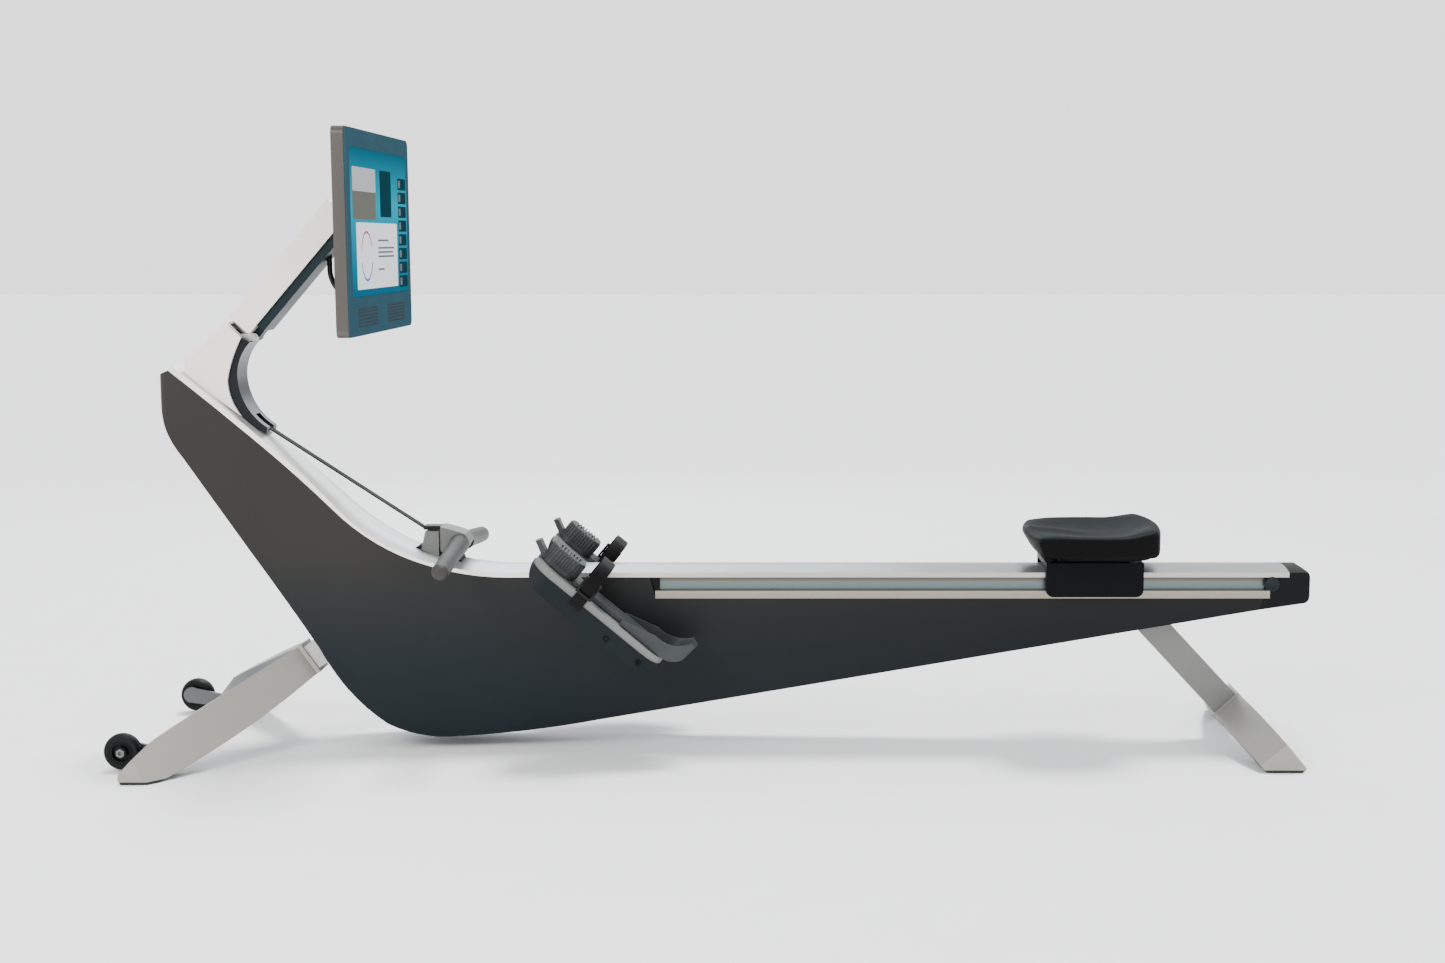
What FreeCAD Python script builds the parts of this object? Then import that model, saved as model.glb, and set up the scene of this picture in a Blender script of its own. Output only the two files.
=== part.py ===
# Rowing machine: a long rail on a tapering hull, a magnetic brake driven by a pull strap, a rolling seat,
# two footboards and a touch display on a folding arm.
#
# Frame: +Z up, the floor at Z = 0, X along the machine with the display end at -X and the rail's tail at +X,
# Y across it. The rower sits facing -X, so the rower's left is -Y. All sizes are in millimetres.
import FreeCAD, Part
import os
import re
import Sketcher
from FreeCAD import Placement, Rotation, Vector

doc = FreeCAD.newDocument("rowing_machine")
sheet = doc.addObject("Spreadsheet::Sheet", "Sizes")

# Each driving dimension: its alias, its value and what it is.
DIMENSIONS = [
    # hull, rail and deck
    ("tail_x", 1131, "rear face of the rail's end cap"),
    ("cover_end_x", 1091, "rear end of the deck cover"),
    ("rail_end_x", 1055, "rear end of the rail"),
    ("rail_front_x", -123, "front end of the rail's open grooves"),
    ("rail_edge_z", 334, "lower edge of the deck cover along the rail"),
    ("flange_top_z", 308, "running face of the rail's lower flanges"),
    ("flange_low_z", 293, "underside of the rail"),
    ("cover_half", 57, "half the width of the rail and the deck along it"),
    ("groove_half", 46, "half the width of the rail's web between the grooves"),
    ("crown_rise", 16, "height of the deck's crown over its edges"),
    ("crown_radius", 240, "radius of the deck's crown across the machine"),
    ("crown_half", 76, "half the width that the crown is drawn over"),
    ("skin", 3, "wall of the hull, the deck and the other covers"),
    ("bend_end_x", -403, "where the deck's bend runs out into the straight rail"),
    ("bend_radius", 482, "radius of the deck's bend"),
    ("bend_angle", 43, "slope of the deck above its bend, in degrees"),
    ("prow_radius", 4984, "radius of the slow curve from the bend to the prow"),
    ("prow_angle", 38.3, "slope of the deck at the prow, in degrees"),
    ("prow_front_x", -1062, "front face of the prow"),
    ("prow_low_z", 665, "lower end of the prow's front face"),
    ("chin_x", -1020, "upper end of the hull's straight front"),
    ("chin_z", 563, "height of the upper end of the hull's straight front"),
    ("throat_x", -770, "lower end of the hull's straight front"),
    ("throat_z", 197, "height of the lower end of the hull's straight front"),
    ("belly_x", -500, "lowest point of the hull"),
    ("belly_z", 24, "height of the hull's lowest point"),
    ("bilge_x", -640, "middle of the hull's round front corner"),
    ("bilge_z", 52, "height of the middle of the hull's round front corner"),
    ("keel_x", -240, "front end of the hull's straight keel"),
    ("keel_z", 54, "height of the front end of the hull's straight keel"),
    ("seam_low_z", 271, "underside of the hull at its seam with the end cap"),
    ("seam_x", 1042, "seam between the hull and the end cap"),
    ("prow_half", 48, "half the width of the prow"),
    ("waist_half", 55, "half the width of the hull below the prow"),
    ("beam_half", 73, "half the hull's greatest width"),
    ("beam_x", -663, "where the hull is widest"),
    ("inlet_x", -620, "front end of the mains inlet"),
    ("inlet_z", 100, "lower edge of the mains inlet"),
    ("inlet_long", 32, "length of the mains inlet"),
    ("inlet_high", 26, "height of the mains inlet"),
    # frame inside the hull
    ("plate_gap_half", 26, "half the gap between the frame's side plates"),
    ("plate", 4, "thickness of the frame's side plates"),
    ("saddle_low_z", 285, "top of the side plates under the rail"),
    ("joiner_front_x", -450, "front end of the tube that joins the rail to the frame"),
    ("joiner_back_x", 60, "rear end of the tube that joins the rail to the frame"),
    ("rail_wall", 4, "wall of the rail"),
    # drive
    ("flywheel_x", -560, "flywheel axle"),
    ("flywheel_z", 190, "flywheel axle height"),
    ("flywheel_radius", 115, "flywheel radius"),
    ("flywheel_half", 9, "half the flywheel's thickness at its rim"),
    ("spool_x", -840, "strap spool axle"),
    ("spool_z", 440, "strap spool axle height"),
    ("spool_radius", 30, "radius that the strap winds on"),
    ("axle_radius", 6, "radius of the drive's axles"),
    ("bearing_radius", 14, "outer radius of the drive's bearings"),
    ("big_pulley_radius", 54, "radius that the belt runs at on the spool's pulley"),
    ("small_pulley_radius", 18, "radius that the belt runs at on the flywheel's pulley"),
    ("belt_thick", 3, "thickness of the drive belt"),
    ("belt_wide", 10, "width of the drive belt"),
    ("belt_y", 38, "middle of the drive belt"),
    ("fit_gap", 0.4, "clearance between parts that move on each other"),
    ("running_gap", 0.05, "radial clearance of the axles in their bearings"),
    # strap and handle
    ("fairlead_x", -884, "roller that the strap leaves over"),
    ("fairlead_z", 618, "height of that roller"),
    ("fairlead_radius", 7, "radius of that roller"),
    ("strap_half", 11, "half the width of the pull strap"),
    ("strap_thick", 2.4, "thickness of the pull strap"),
    ("hub_x", -512, "middle of the handle's hub"),
    ("hub_z", 397, "height of the middle of the handle's hub"),
    ("grip_half", 240, "half the length of the handle"),
    ("grip_radius", 17, "radius of the handle's grips"),
    ("grip_droop", 24, "how far the grips' ends hang below the hub"),
    ("dock_x", -556, "middle of the handle's dock"),
    ("dock_half", 28, "half the width of the handle's dock"),
    # footboards
    ("pedal_y", 130, "middle of each footboard from the centre plane"),
    ("pedal_x", -337, "toe end of the footboards' rim line"),
    ("pedal_z", 377, "height of the toe end of the footboards' rim line"),
    ("pedal_angle", 40, "slope of the footboards, in degrees"),
    ("pedal_long", 299, "length of the footboards along their slope"),
    ("pedal_half", 54, "half the width of the footboards"),
    ("pedal_deep", 37, "depth of the footboards' shell"),
    ("pedal_round", 44, "corner radius of the footboards in plan"),
    ("board_thick", 13, "thickness of the footboards' top plate"),
    ("slider_lift", 15, "underside of the heel slider over the rim line"),
    ("slider_thick", 8, "thickness of the heel slider's plate"),
    ("slider_half", 40, "half the width of the heel slider"),
    ("heel_end", 327, "rear end of the heel cup along the slope"),
    ("heel_rise", 48, "height of the heel cup over the slider's plate"),
    ("strap_u", 104, "foot strap's middle along the slope"),
    ("foot_strap_half", 13, "half the width of the foot straps"),
    ("foot_strap_rise", 84, "height of the foot straps over the rim line"),
    ("crossbar_u", 150, "footboards' cross bar along the slope"),
    ("brace_u", 250, "footboards' rear brace along the slope"),
    ("crossbar_depth", 18, "cross bars' depth under the rim line"),
    ("crossbar_radius", 13, "radius of the footboards' cross bar"),
    ("brace_radius", 8, "radius of the footboards' brace"),
    # seat
    ("seat_front_x", 588, "front edge of the seat"),
    ("seat_back_x", 846, "rear edge of the seat"),
    ("seat_half", 142, "half the width of the seat"),
    ("seat_low_z", 380, "underside of the seat's cushion"),
    ("seat_top_z", 424, "top of the seat's cushion"),
    ("carriage_front_x", 624, "front end of the seat's carriage"),
    ("carriage_back_x", 810, "rear end of the seat's carriage"),
    ("carriage_side", 14, "how far the carriage's sides reach out beyond the rail"),
    ("carriage_half", "=cover_half + carriage_side", "half the width of the carriage"),
    ("carriage_low_z", 298, "lower edge of the carriage's sides"),
    ("carriage_top_z", 364, "top of the carriage"),
    ("roller_radius", 12, "radius of the seat's rollers"),
    ("roller_inset", 30, "rollers' axles from the carriage's ends"),
    # legs and feet
    ("front_slope", 34.9, "slope of the front leg, in degrees"),
    ("front_leg_x", -799, "middle of the front foot's socket"),
    ("front_leg_z", 167, "height of the middle of the front foot's socket"),
    ("front_bar_half", 25, "half the depth of the front leg's bar"),
    ("rear_slope", 47, "slope of the rear leg, in degrees"),
    ("rear_leg_x", 984, "middle of the rear foot's socket"),
    ("rear_leg_z", 77, "height of the middle of the rear foot's socket"),
    ("rear_bar_half", 27, "half the depth of the rear leg's bar"),
    ("front_foot_half", 312, "half the width over the front foot's tips"),
    ("rear_foot_half", 235, "half the width over the rear foot's tips"),
    ("pad_thick", 5, "thickness of the feet's floor pads"),
    ("wheel_x", -1097, "transport wheels' axle"),
    ("wheel_z", 37, "height of the transport wheels' axle"),
    ("wheel_y", 219, "middle of each transport wheel"),
    ("wheel_radius", 34, "radius of the transport wheels"),
    ("wheel_half", 12, "half the width of the transport wheels"),
    # mast and display
    ("mast_half", 39, "half the width of the mast cover and the arm"),
    ("fold_x", -884, "arm's folding hinge"),
    ("fold_z", 791, "height of the arm's folding hinge"),
    ("arm_angle", 49, "slope of the arm, in degrees"),
    ("arm_long", 292, "length of the arm from its folding hinge to its tilt hinge"),
    ("arm_deep", 48, "depth of the arm"),
    ("tilt_reach", 15.587, "how far the tilt hinge stands beyond the arm's end, along the arm"),
    ("tilt_over", 19.604, "height of the tilt hinge over the folding hinge, square to the arm"),
    (
        "tilt_x",
        "=fold_x + (arm_long + tilt_reach) * cos(arm_angle) - tilt_over * sin(arm_angle)",
        "display's tilt hinge",
    ),
    (
        "tilt_z",
        "=fold_z + (arm_long + tilt_reach) * sin(arm_angle) + tilt_over * cos(arm_angle)",
        "height of the display's tilt hinge",
    ),
    ("display_ahead", 55, "how far the display's face stands ahead of its tilt hinge"),
    ("display_below", 235, "how far the display reaches below its tilt hinge"),
    ("display_above", 138, "how far the display reaches above its tilt hinge"),
    ("display_face_x", "=tilt_x + display_ahead", "front face of the display"),
    ("display_thick", 25, "thickness of the display"),
    ("display_low_z", "=tilt_z - display_below", "lower edge of the display"),
    ("display_top_z", "=tilt_z + display_above", "upper edge of the display"),
    ("display_half", 266, "half the width of the display"),
    ("display_round", 14, "corner radius of the display"),
    ("lead_behind", 44, "how far behind the tilt hinge the display's lead leaves the arm"),
    ("lead_start", 78, "how far below the tilt hinge the lead starts"),
    ("lead_entry", 176, "how far below the tilt hinge the lead enters the display"),
    ("lead_x", "=tilt_x - lead_behind", "where the display's lead leaves the arm"),
    ("lead_top_z", "=tilt_z - lead_start", "upper end of the display's lead"),
    ("lead_low_z", "=tilt_z - lead_entry", "height at which the lead meets the display"),
    ("lead_bend", 60, "radius of the lead's bend"),
    ("lead_radius", 5, "radius of the lead"),
]
for row, (alias, number, meaning) in enumerate(DIMENSIONS, start=1):
    sheet.set("A%d" % row, alias)
    sheet.set("B%d" % row, str(number))
    sheet.setAlias("B%d" % row, alias)
    sheet.set("C%d" % row, meaning)
doc.recompute()

ALIASES = {alias for alias, number, meaning in DIMENSIONS}
nodes = {}


# ---- how the pieces are drawn ----------------------------------------------------------------------------


def bound(formula):
    """The formula as other objects read it, with the sheet's name before each alias."""
    return re.sub(
        r"[A-Za-z_]\w*",
        lambda word: "Sizes." + word.group() if word.group() in ALIASES else word.group(),
        str(formula),
    )


def number(formula):
    """The formula's value in millimetres or degrees."""
    return float(sheet.evalExpression(bound(formula)))


def keep(label, shape_object):
    """Names an object as a sub-part that is written to its own file."""
    shape_object.Label = label
    nodes[label] = shape_object
    return shape_object


def new_sketch(body, name, plane, offset):
    """An empty sketch parallel to one of the body's own origin planes, at offset along that plane's axis."""
    sketch = body.newObject("Sketcher::SketchObject", name)
    origin_plane = next(f for f in body.Origin.OriginFeatures if f.Role == plane + "_Plane")
    sketch.AttachmentSupport = [(origin_plane, "")]
    sketch.MapMode = "FlatFace"
    toward = "-1" if plane == "XZ" else "1"
    sketch.setExpression("AttachmentOffset.Base.z", "%s * (%s)" % (toward, bound(offset)))
    return sketch


def fix_point(sketch, element, point, x, y):
    """Holds a point of the sketch at formulas x and y from the sketch's origin."""
    for kind, formula in (("DistanceX", x), ("DistanceY", y)):
        rule = sketch.addConstraint(Sketcher.Constraint(kind, -1, 1, element, point, number(formula)))
        sketch.setExpression("Constraints[%d]" % rule, bound(formula))


def draw_outline(sketch, corners, closed=True):
    """Draws a chain of straight lines and arcs through the corners.

    A corner is (x, y), or (x, y, mid_x, mid_y) where an arc through the middle point leads to it.
    """
    spots = [Vector(number(c[0]), number(c[1]), 0) for c in corners]
    ends = []
    for step in range(len(corners) if closed else len(corners) - 1):
        start, end = spots[step], spots[(step + 1) % len(corners)]
        target = corners[(step + 1) % len(corners)]
        if len(target) == 2:
            edge = sketch.addGeometry(Part.LineSegment(start, end), False)
            ends.append((edge, 1, 2))
            continue
        middle = Vector(number(target[2]), number(target[3]), 0)
        edge = sketch.addGeometry(Part.Arc(start, middle, end), False)
        begins = 1 if sketch.getPoint(edge, 1).distanceToPoint(start) < 1e-4 else 2
        ends.append((edge, begins, 3 - begins))
        guide = sketch.addGeometry(Part.Point(middle), True)
        fix_point(sketch, guide, 1, target[2], target[3])
        sketch.addConstraint(Sketcher.Constraint("PointOnObject", guide, 1, edge))
    for step, (edge, begins, finishes) in enumerate(ends):
        fix_point(sketch, edge, begins, corners[step][0], corners[step][1])
        if closed or step + 1 < len(ends):
            following = ends[(step + 1) % len(ends)]
            sketch.addConstraint(Sketcher.Constraint("Coincident", edge, finishes, following[0], following[1]))
    if not closed:
        fix_point(sketch, ends[-1][0], ends[-1][2], corners[-1][0], corners[-1][1])


def draw_circle(sketch, x, y, radius):
    """Draws a circle with its centre and radius held by formulas."""
    centre = Vector(number(x), number(y), 0)
    ring = sketch.addGeometry(Part.Circle(centre, Vector(0, 0, 1), number(radius)), False)
    fix_point(sketch, ring, 3, x, y)
    rule = sketch.addConstraint(Sketcher.Constraint("Radius", ring, number(radius)))
    sketch.setExpression("Constraints[%d]" % rule, bound(radius))


def draw(sketch, corners, holes):
    """Draws an outline, or a circle where corners is (x, y, radius) formulas, and round holes inside it."""
    if isinstance(corners[0], tuple):
        draw_outline(sketch, corners)
    else:
        draw_circle(sketch, *corners)
    for hole in holes:
        draw_circle(sketch, *hole)


def new_body(name):
    return doc.addObject("PartDesign::Body", name)


def pad(body, plane, corners, low, high, holes=()):
    """Adds the outline to the body as a prism from low to high along the plane's axis."""
    sketch = new_sketch(body, body.Name + "_outline", plane, low)
    draw(sketch, corners, holes)
    feature = body.newObject("PartDesign::Pad", body.Name + "_pad")
    feature.Profile = sketch
    feature.setExpression("Length", bound("(%s) - (%s)" % (high, low)))
    feature.Reversed = plane == "XZ"
    doc.recompute()
    return body


def pocket(body, plane, corners, low, high, holes=()):
    """Takes the outline from the body as a prism from low to high along the plane's axis."""
    start = low if plane == "XZ" else high
    sketch = new_sketch(body, body.Name + "_cutout", plane, start)
    draw(sketch, corners, holes)
    before = body.Shape.Volume
    feature = body.newObject("PartDesign::Pocket", body.Name + "_pocket")
    feature.Profile = sketch
    feature.setExpression("Length", bound("(%s) - (%s)" % (high, low)))
    doc.recompute()
    if not body.Shape.Volume < before:
        raise RuntimeError("%s: a pocket takes nothing away" % body.Name)
    return body


def prism(name, plane, corners, low, high, holes=()):
    """A body that is one prism."""
    return pad(new_body(name), plane, corners, low, high, holes)


def loft(body, plane, sections):
    """Adds a loft through outlines, each given as (offset, corners)."""
    sketches = []
    for offset, corners in sections:
        sketch = new_sketch(body, body.Name + "_section", plane, offset)
        draw(sketch, corners, ())
        sketches.append(sketch)
    feature = body.newObject("PartDesign::AdditiveLoft", body.Name + "_loft")
    feature.Profile = sketches[0]
    feature.Sections = sketches[1:]
    doc.recompute()
    return body


def turned(name, half_section):
    """A body of revolution about the Y axis, from an outline of (radius, y) corners."""
    body = new_body(name)
    sketch = new_sketch(body, name + "_section", "XY", "0")
    draw_outline(sketch, half_section)
    feature = body.newObject("PartDesign::Revolution", name + "_turning")
    feature.Profile = sketch
    feature.ReferenceAxis = (sketch, ["V_Axis"])
    feature.Angle = 360
    doc.recompute()
    return body


def round_edges(body, radius, chosen):
    """Fillets the edges of the body's tip that the function chosen accepts."""
    base = body.Tip
    names = ["Edge%d" % (i + 1) for i, edge in enumerate(base.Shape.Edges) if chosen(edge)]
    if not names:
        raise RuntimeError("%s: no edge to round" % body.Name)
    feature = body.newObject("PartDesign::Fillet", body.Name + "_rounding")
    feature.Base = (base, names)
    feature.setExpression("Radius", bound(radius))
    doc.recompute()
    return body


def along(axis):
    """Accepts straight edges parallel to an axis."""
    return lambda edge: edge.Curve.TypeId == "Part::GeomLine" and abs(edge.Curve.Direction.dot(axis)) > 0.999


def put(shape_object, x="0", y="0", z="0", axis=Vector(0, 1, 0), angle="0"):
    """Places an object by formulas, turned by angle about axis."""
    shape_object.Placement = Placement(Vector(0, 0, 0), Rotation(axis, max(number(angle), 1e-9)))
    shape_object.setExpression("Placement.Rotation.Angle", bound(angle))
    shape_object.setExpression("Placement.Base.x", bound(x))
    shape_object.setExpression("Placement.Base.y", bound(y))
    shape_object.setExpression("Placement.Base.z", bound(z))
    return shape_object


def common(name, first, second):
    shared = doc.addObject("Part::Common", name)
    shared.Base = first
    shared.Tool = second
    doc.recompute()
    return shared


def cut(name, base, *tools):
    """The base less every tool."""
    for tool in tools:
        less = doc.addObject("Part::Cut", name)
        less.Base = base
        less.Tool = tool
        base = less
    doc.recompute()
    return base


def fuse(name, *pieces):
    joined = doc.addObject("Part::MultiFuse", name)
    joined.Shapes = list(pieces)
    doc.recompute()
    return joined


def group(name, *pieces):
    """Separate solids that share one node."""
    together = doc.addObject("Part::Compound", name)
    together.Links = list(pieces)
    doc.recompute()
    return together


def rectangle(x_low, x_high, y_low, y_high):
    return [(x_low, y_low), (x_high, y_low), (x_high, y_high), (x_low, y_high)]


def block(name, x_low, x_high, y_low, y_high, z_low, z_high):
    return prism(name, "XZ", rectangle(x_low, x_high, z_low, z_high), y_low, y_high)


def tilted(centre_x, centre_z, slope, long_low, long_high, deep_low, deep_high):
    """Corners of a rectangle in the XZ plane whose long side falls towards +X by slope degrees."""
    spots = [(long_low, deep_low), (long_high, deep_low), (long_high, deep_high), (long_low, deep_high)]
    return [
        (
            "%s + (%s) * cos(%s) + (%s) * sin(%s)" % (centre_x, a, slope, n, slope),
            "%s - (%s) * sin(%s) + (%s) * cos(%s)" % (centre_z, a, slope, n, slope),
        )
        for a, n in spots
    ]


def rounded(x_low, x_high, y_low, y_high, radius):
    """A rectangle with round corners."""
    bow = "(%s) * 0.29289" % radius
    return [
        ("(%s) + (%s)" % (x_low, radius), y_low, "(%s) + %s" % (x_low, bow), "(%s) + %s" % (y_low, bow)),
        ("(%s) - (%s)" % (x_high, radius), y_low),
        (x_high, "(%s) + (%s)" % (y_low, radius), "(%s) - %s" % (x_high, bow), "(%s) + %s" % (y_low, bow)),
        (x_high, "(%s) - (%s)" % (y_high, radius)),
        ("(%s) - (%s)" % (x_high, radius), y_high, "(%s) - %s" % (x_high, bow), "(%s) - %s" % (y_high, bow)),
        ("(%s) + (%s)" % (x_low, radius), y_high),
        (x_low, "(%s) - (%s)" % (y_high, radius), "(%s) + %s" % (x_low, bow), "(%s) - %s" % (y_high, bow)),
        (x_low, "(%s) + (%s)" % (y_low, radius)),
    ]


# ---- the deck's curve, which the hull's top edge and the deck cover share ---------------------------------


def bend_point(rise, slope):
    """A point of the bend where the deck slopes by slope degrees, rise above the hull's top edge."""
    radius = "(bend_radius - (%s))" % rise
    return (
        "bend_end_x - %s * sin(%s)" % (radius, slope),
        "rail_edge_z + bend_radius - %s * cos(%s)" % (radius, slope),
    )


def prow_point(rise, slope):
    """A point of the slow curve above the bend, rise above the hull's top edge."""
    radius = "(prow_radius + (%s))" % rise
    return (
        "bend_end_x - (bend_radius + prow_radius) * sin(bend_angle) + %s * sin(%s)" % (radius, slope),
        "rail_edge_z + bend_radius - (bend_radius + prow_radius) * cos(bend_angle) + %s * cos(%s)"
        % (radius, slope),
    )


def deck_line(rise):
    """The deck's line from the bend's rear end up to the prow, as corners that arcs lead to."""
    return [
        ("bend_end_x", "rail_edge_z + (%s)" % rise),
        bend_point(rise, "bend_angle") + bend_point(rise, "bend_angle / 2"),
        prow_point(rise, "prow_angle") + prow_point(rise, "(bend_angle + prow_angle) / 2"),
    ]


# ---- hull -------------------------------------------------------------------------------------------------

# The hull in side view, from the seam with the end cap along the keel to the prow and back along the deck.
HULL_SIDE = [
    ("seam_x", "flange_low_z"),
    ("seam_x - 6", "seam_low_z"),
    ("keel_x", "keel_z"),
    ("belly_x", "belly_z", "keel_x - 132", "belly_z + 10"),
    ("bilge_x", "bilge_z", "belly_x - 77", "belly_z + 5"),
    ("throat_x", "throat_z", "bilge_x - 64", "bilge_z + 54"),
    ("chin_x", "chin_z"),
    ("prow_front_x", "prow_low_z", "prow_front_x + 13", "chin_z + 49"),
    ("prow_front_x + 2", "prow_low_z + 57"),
    prow_point("0", "prow_angle"),
    bend_point("0", "bend_angle") + prow_point("0", "(bend_angle + prow_angle) / 2"),
    ("bend_end_x", "rail_edge_z") + bend_point("0", "bend_angle / 2"),
    ("rail_front_x - 10", "rail_edge_z"),
    ("rail_front_x", "flange_low_z"),
]


def half_plan(side):
    """The hull's edge in plan on one side, from the stern to the prow."""
    return [
        ("tail_x", "%s * cover_half" % side),
        ("beam_x + 333", "%s * cover_half" % side),
        (
            "beam_x + 103",
            "%s * (beam_half - 5)" % side,
            "beam_x + 193",
            "%s * (cover_half + 4.5)" % side,
        ),
        (
            "beam_x - 72",
            "%s * (beam_half - 9)" % side,
            "beam_x",
            "%s * beam_half" % side,
        ),
        (
            "beam_x - 237",
            "%s * (waist_half - 3)" % side,
            "beam_x - 137",
            "%s * waist_half" % side,
        ),
        ("prow_front_x + 16", "%s * prow_half" % side),
        ("prow_front_x", "%s * (prow_half - 16)" % side, "prow_front_x + 5", "%s * (prow_half - 5)" % side),
    ]


def mirrored_chain(chain):
    """The chain walked the other way round on the other side of the centre plane."""
    back = []
    for place in range(len(chain) - 1, -1, -1):
        x, y = chain[place][0], chain[place][1]
        leads = chain[place + 1] if place + 1 < len(chain) else ()
        corner = (x, y.replace("-1 *", "1 *", 1))
        if len(leads) == 4:
            corner += (leads[2], leads[3].replace("-1 *", "1 *", 1))
        back.append(corner)
    return back


LEFT_EDGE = half_plan("-1")
HULL_PLAN = LEFT_EDGE + mirrored_chain(LEFT_EDGE)


def inset(source, name, distance):
    """The outline of a body's first sketch, moved inwards by distance."""
    ring = doc.addObject("Part::Offset2D", name)
    ring.Source = source
    ring.setExpression("Value", bound("-(%s)" % distance))
    ring.Join = "Intersection"
    doc.recompute()
    return ring


def extruded(name, ring, axis, low, high):
    """A closed outline drawn out as a solid from low to high along axis."""
    solid = doc.addObject("Part::Extrusion", name)
    solid.Base = ring
    solid.DirMode = "Custom"
    solid.Dir = axis
    solid.Solid = True
    solid.setExpression("LengthFwd", bound(high))
    solid.setExpression("LengthRev", bound("-(%s)" % low))
    doc.recompute()
    return solid


def first_sketch(body):
    return next(f for f in body.Group if f.TypeId == "Sketcher::SketchObject")


hull_side = prism("hull_side", "XZ", HULL_SIDE, "-crown_half - 10", "crown_half + 10")
hull_plan = prism("hull_plan", "XY", HULL_PLAN, "0", "prow_low_z + 150")
hull_outer = common("hull_outer", hull_side, hull_plan)

side_inset = inset(first_sketch(hull_side), "side_inset", "skin")
plan_inset = inset(first_sketch(hull_plan), "plan_inset", "skin")
hull_side_inner = extruded("hull_side_inner", side_inset, Vector(0, 1, 0), "-crown_half * 3", "crown_half * 3")
hull_plan_inner = extruded("hull_plan_inner", plan_inset, Vector(0, 0, 1), "0", "prow_low_z + 150")
hull_void = common("hull_void", hull_side_inner, hull_plan_inner)


def front_bar_outline(low, high, deep):
    """The front leg's bar in side view, between two distances from the foot's socket."""
    return tilted("front_leg_x", "front_leg_z", "-front_slope", low, high, "-(%s)" % deep, deep)


def rear_bar_outline(deep, top):
    """The rear leg's bar in side view, cut level at height top."""
    corners = tilted("rear_leg_x", "rear_leg_z", "rear_slope", "-60", "16", "-(%s)" % deep, deep)
    lean = "(%s - rear_leg_z) / tan(rear_slope)" % top
    corners[0] = ("rear_leg_x - %s - (%s) / sin(rear_slope)" % (lean, deep), top)
    corners[3] = ("rear_leg_x - %s + (%s) / sin(rear_slope)" % (lean, deep), top)
    return corners


def pedal_bar_spot(distance):
    """The centre of a cross bar of the footboards, at a distance along their slope."""
    return (
        "pedal_x + %s * cos(pedal_angle) - crossbar_depth * sin(pedal_angle)" % distance,
        "pedal_z - %s * sin(pedal_angle) - crossbar_depth * cos(pedal_angle)" % distance,
    )


CROSSBAR_SPOT = pedal_bar_spot("crossbar_u")
BRACE_SPOT = pedal_bar_spot("brace_u")
JOINER_HALF = "(groove_half - rail_wall)"

# Steel post inside the mast cover, in side view.
POST_SIDE = [
    ("fold_x - 46", "fold_z + 14"),
    ("fold_x - 26", "fold_z - 4"),
    ("fold_x - 54", "fold_z - 56"),
    ("fold_x - 59", "fold_z - 90"),
    ("fold_x - 44", "fold_z - 130"),
    ("fold_x + 7", "fold_z - 163"),
    ("fold_x + 9", "fold_z - 190"),
    ("fold_x + 6", "fold_z - 226"),
    ("fold_x - 30", "fold_z - 256"),
    ("fold_x - 98", "fold_z - 186"),
    ("fold_x - 92", "fold_z - 46"),
]
STRAP_SLOT = rectangle("fairlead_x - 16", "fairlead_x + 8", "-strap_half - 4", "strap_half + 4")

passages = fuse(
    "hull_passages",
    block("joiner_passage", "rail_front_x - 22", "rail_front_x + 8", "-%s - fit_gap" % JOINER_HALF,
          "%s + fit_gap" % JOINER_HALF, "flange_low_z + rail_wall - fit_gap", "rail_edge_z - rail_wall + fit_gap"),
    prism("front_bar_passage", "XZ", front_bar_outline("0", "120", "front_bar_half + fit_gap"),
          "-plate_gap_half - fit_gap", "plate_gap_half + fit_gap"),
    prism("rear_bar_passage", "XZ", rear_bar_outline("rear_bar_half + fit_gap", "saddle_low_z"),
          "-plate_gap_half - fit_gap", "plate_gap_half + fit_gap"),
    prism("post_passage", "XZ", POST_SIDE, "-plate_gap_half - fit_gap", "plate_gap_half + fit_gap"),
    prism("strap_passage", "XY", STRAP_SLOT, "fairlead_z - 70", "fairlead_z + 40"),
    prism("crossbar_passage", "XZ", CROSSBAR_SPOT + ("crossbar_radius + fit_gap",), "-crown_half", "crown_half"),
    prism("brace_passage", "XZ", BRACE_SPOT + ("brace_radius + fit_gap",), "-crown_half", "crown_half"),
    block("inlet_passage", "inlet_x", "inlet_x + inlet_long", "beam_half - 12", "crown_half + 8",
          "inlet_z", "inlet_z + inlet_high"),
)
hull_shell = cut("hull_shell", hull_outer, hull_void, passages)
for name, low, high in (("left", "-crown_half - 10", "0"), ("right", "0", "crown_half + 10")):
    side_room = block("hull_room_" + name, "prow_front_x - 10", "tail_x", low, high, "0", "prow_low_z + 150")
    keep("hull_shell_" + name, common("hull_half_" + name, hull_shell, side_room))


# ---- deck cover -------------------------------------------------------------------------------------------


def crown_solid(name, lowered, base):
    """The deck's crowned section drawn from its rear end along the rail and up the bend to the prow."""
    body = new_body(name)
    path = new_sketch(body, name + "_path", "XZ", "0")
    draw_outline(path, [("cover_end_x", "rail_edge_z")] + deck_line("0"), closed=False)
    section = new_sketch(body, name + "_section", "YZ", "cover_end_x")
    drop = "crown_radius - sqrt(crown_radius ^ 2 - crown_half ^ 2)"
    side = "rail_edge_z + crown_rise - (%s) - (%s)" % (drop, lowered)
    draw_outline(
        section,
        [
            ("-crown_half", base),
            ("crown_half", base),
            ("crown_half", side),
            ("-crown_half", side, "0", "rail_edge_z + crown_rise - (%s)" % lowered),
        ],
    )
    sweep = body.newObject("PartDesign::AdditivePipe", name + "_sweep")
    sweep.Profile = section
    sweep.Spine = (path, ["Edge%d" % (place + 1) for place in range(path.GeometryCount - 2)])
    doc.recompute()
    return body


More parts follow.
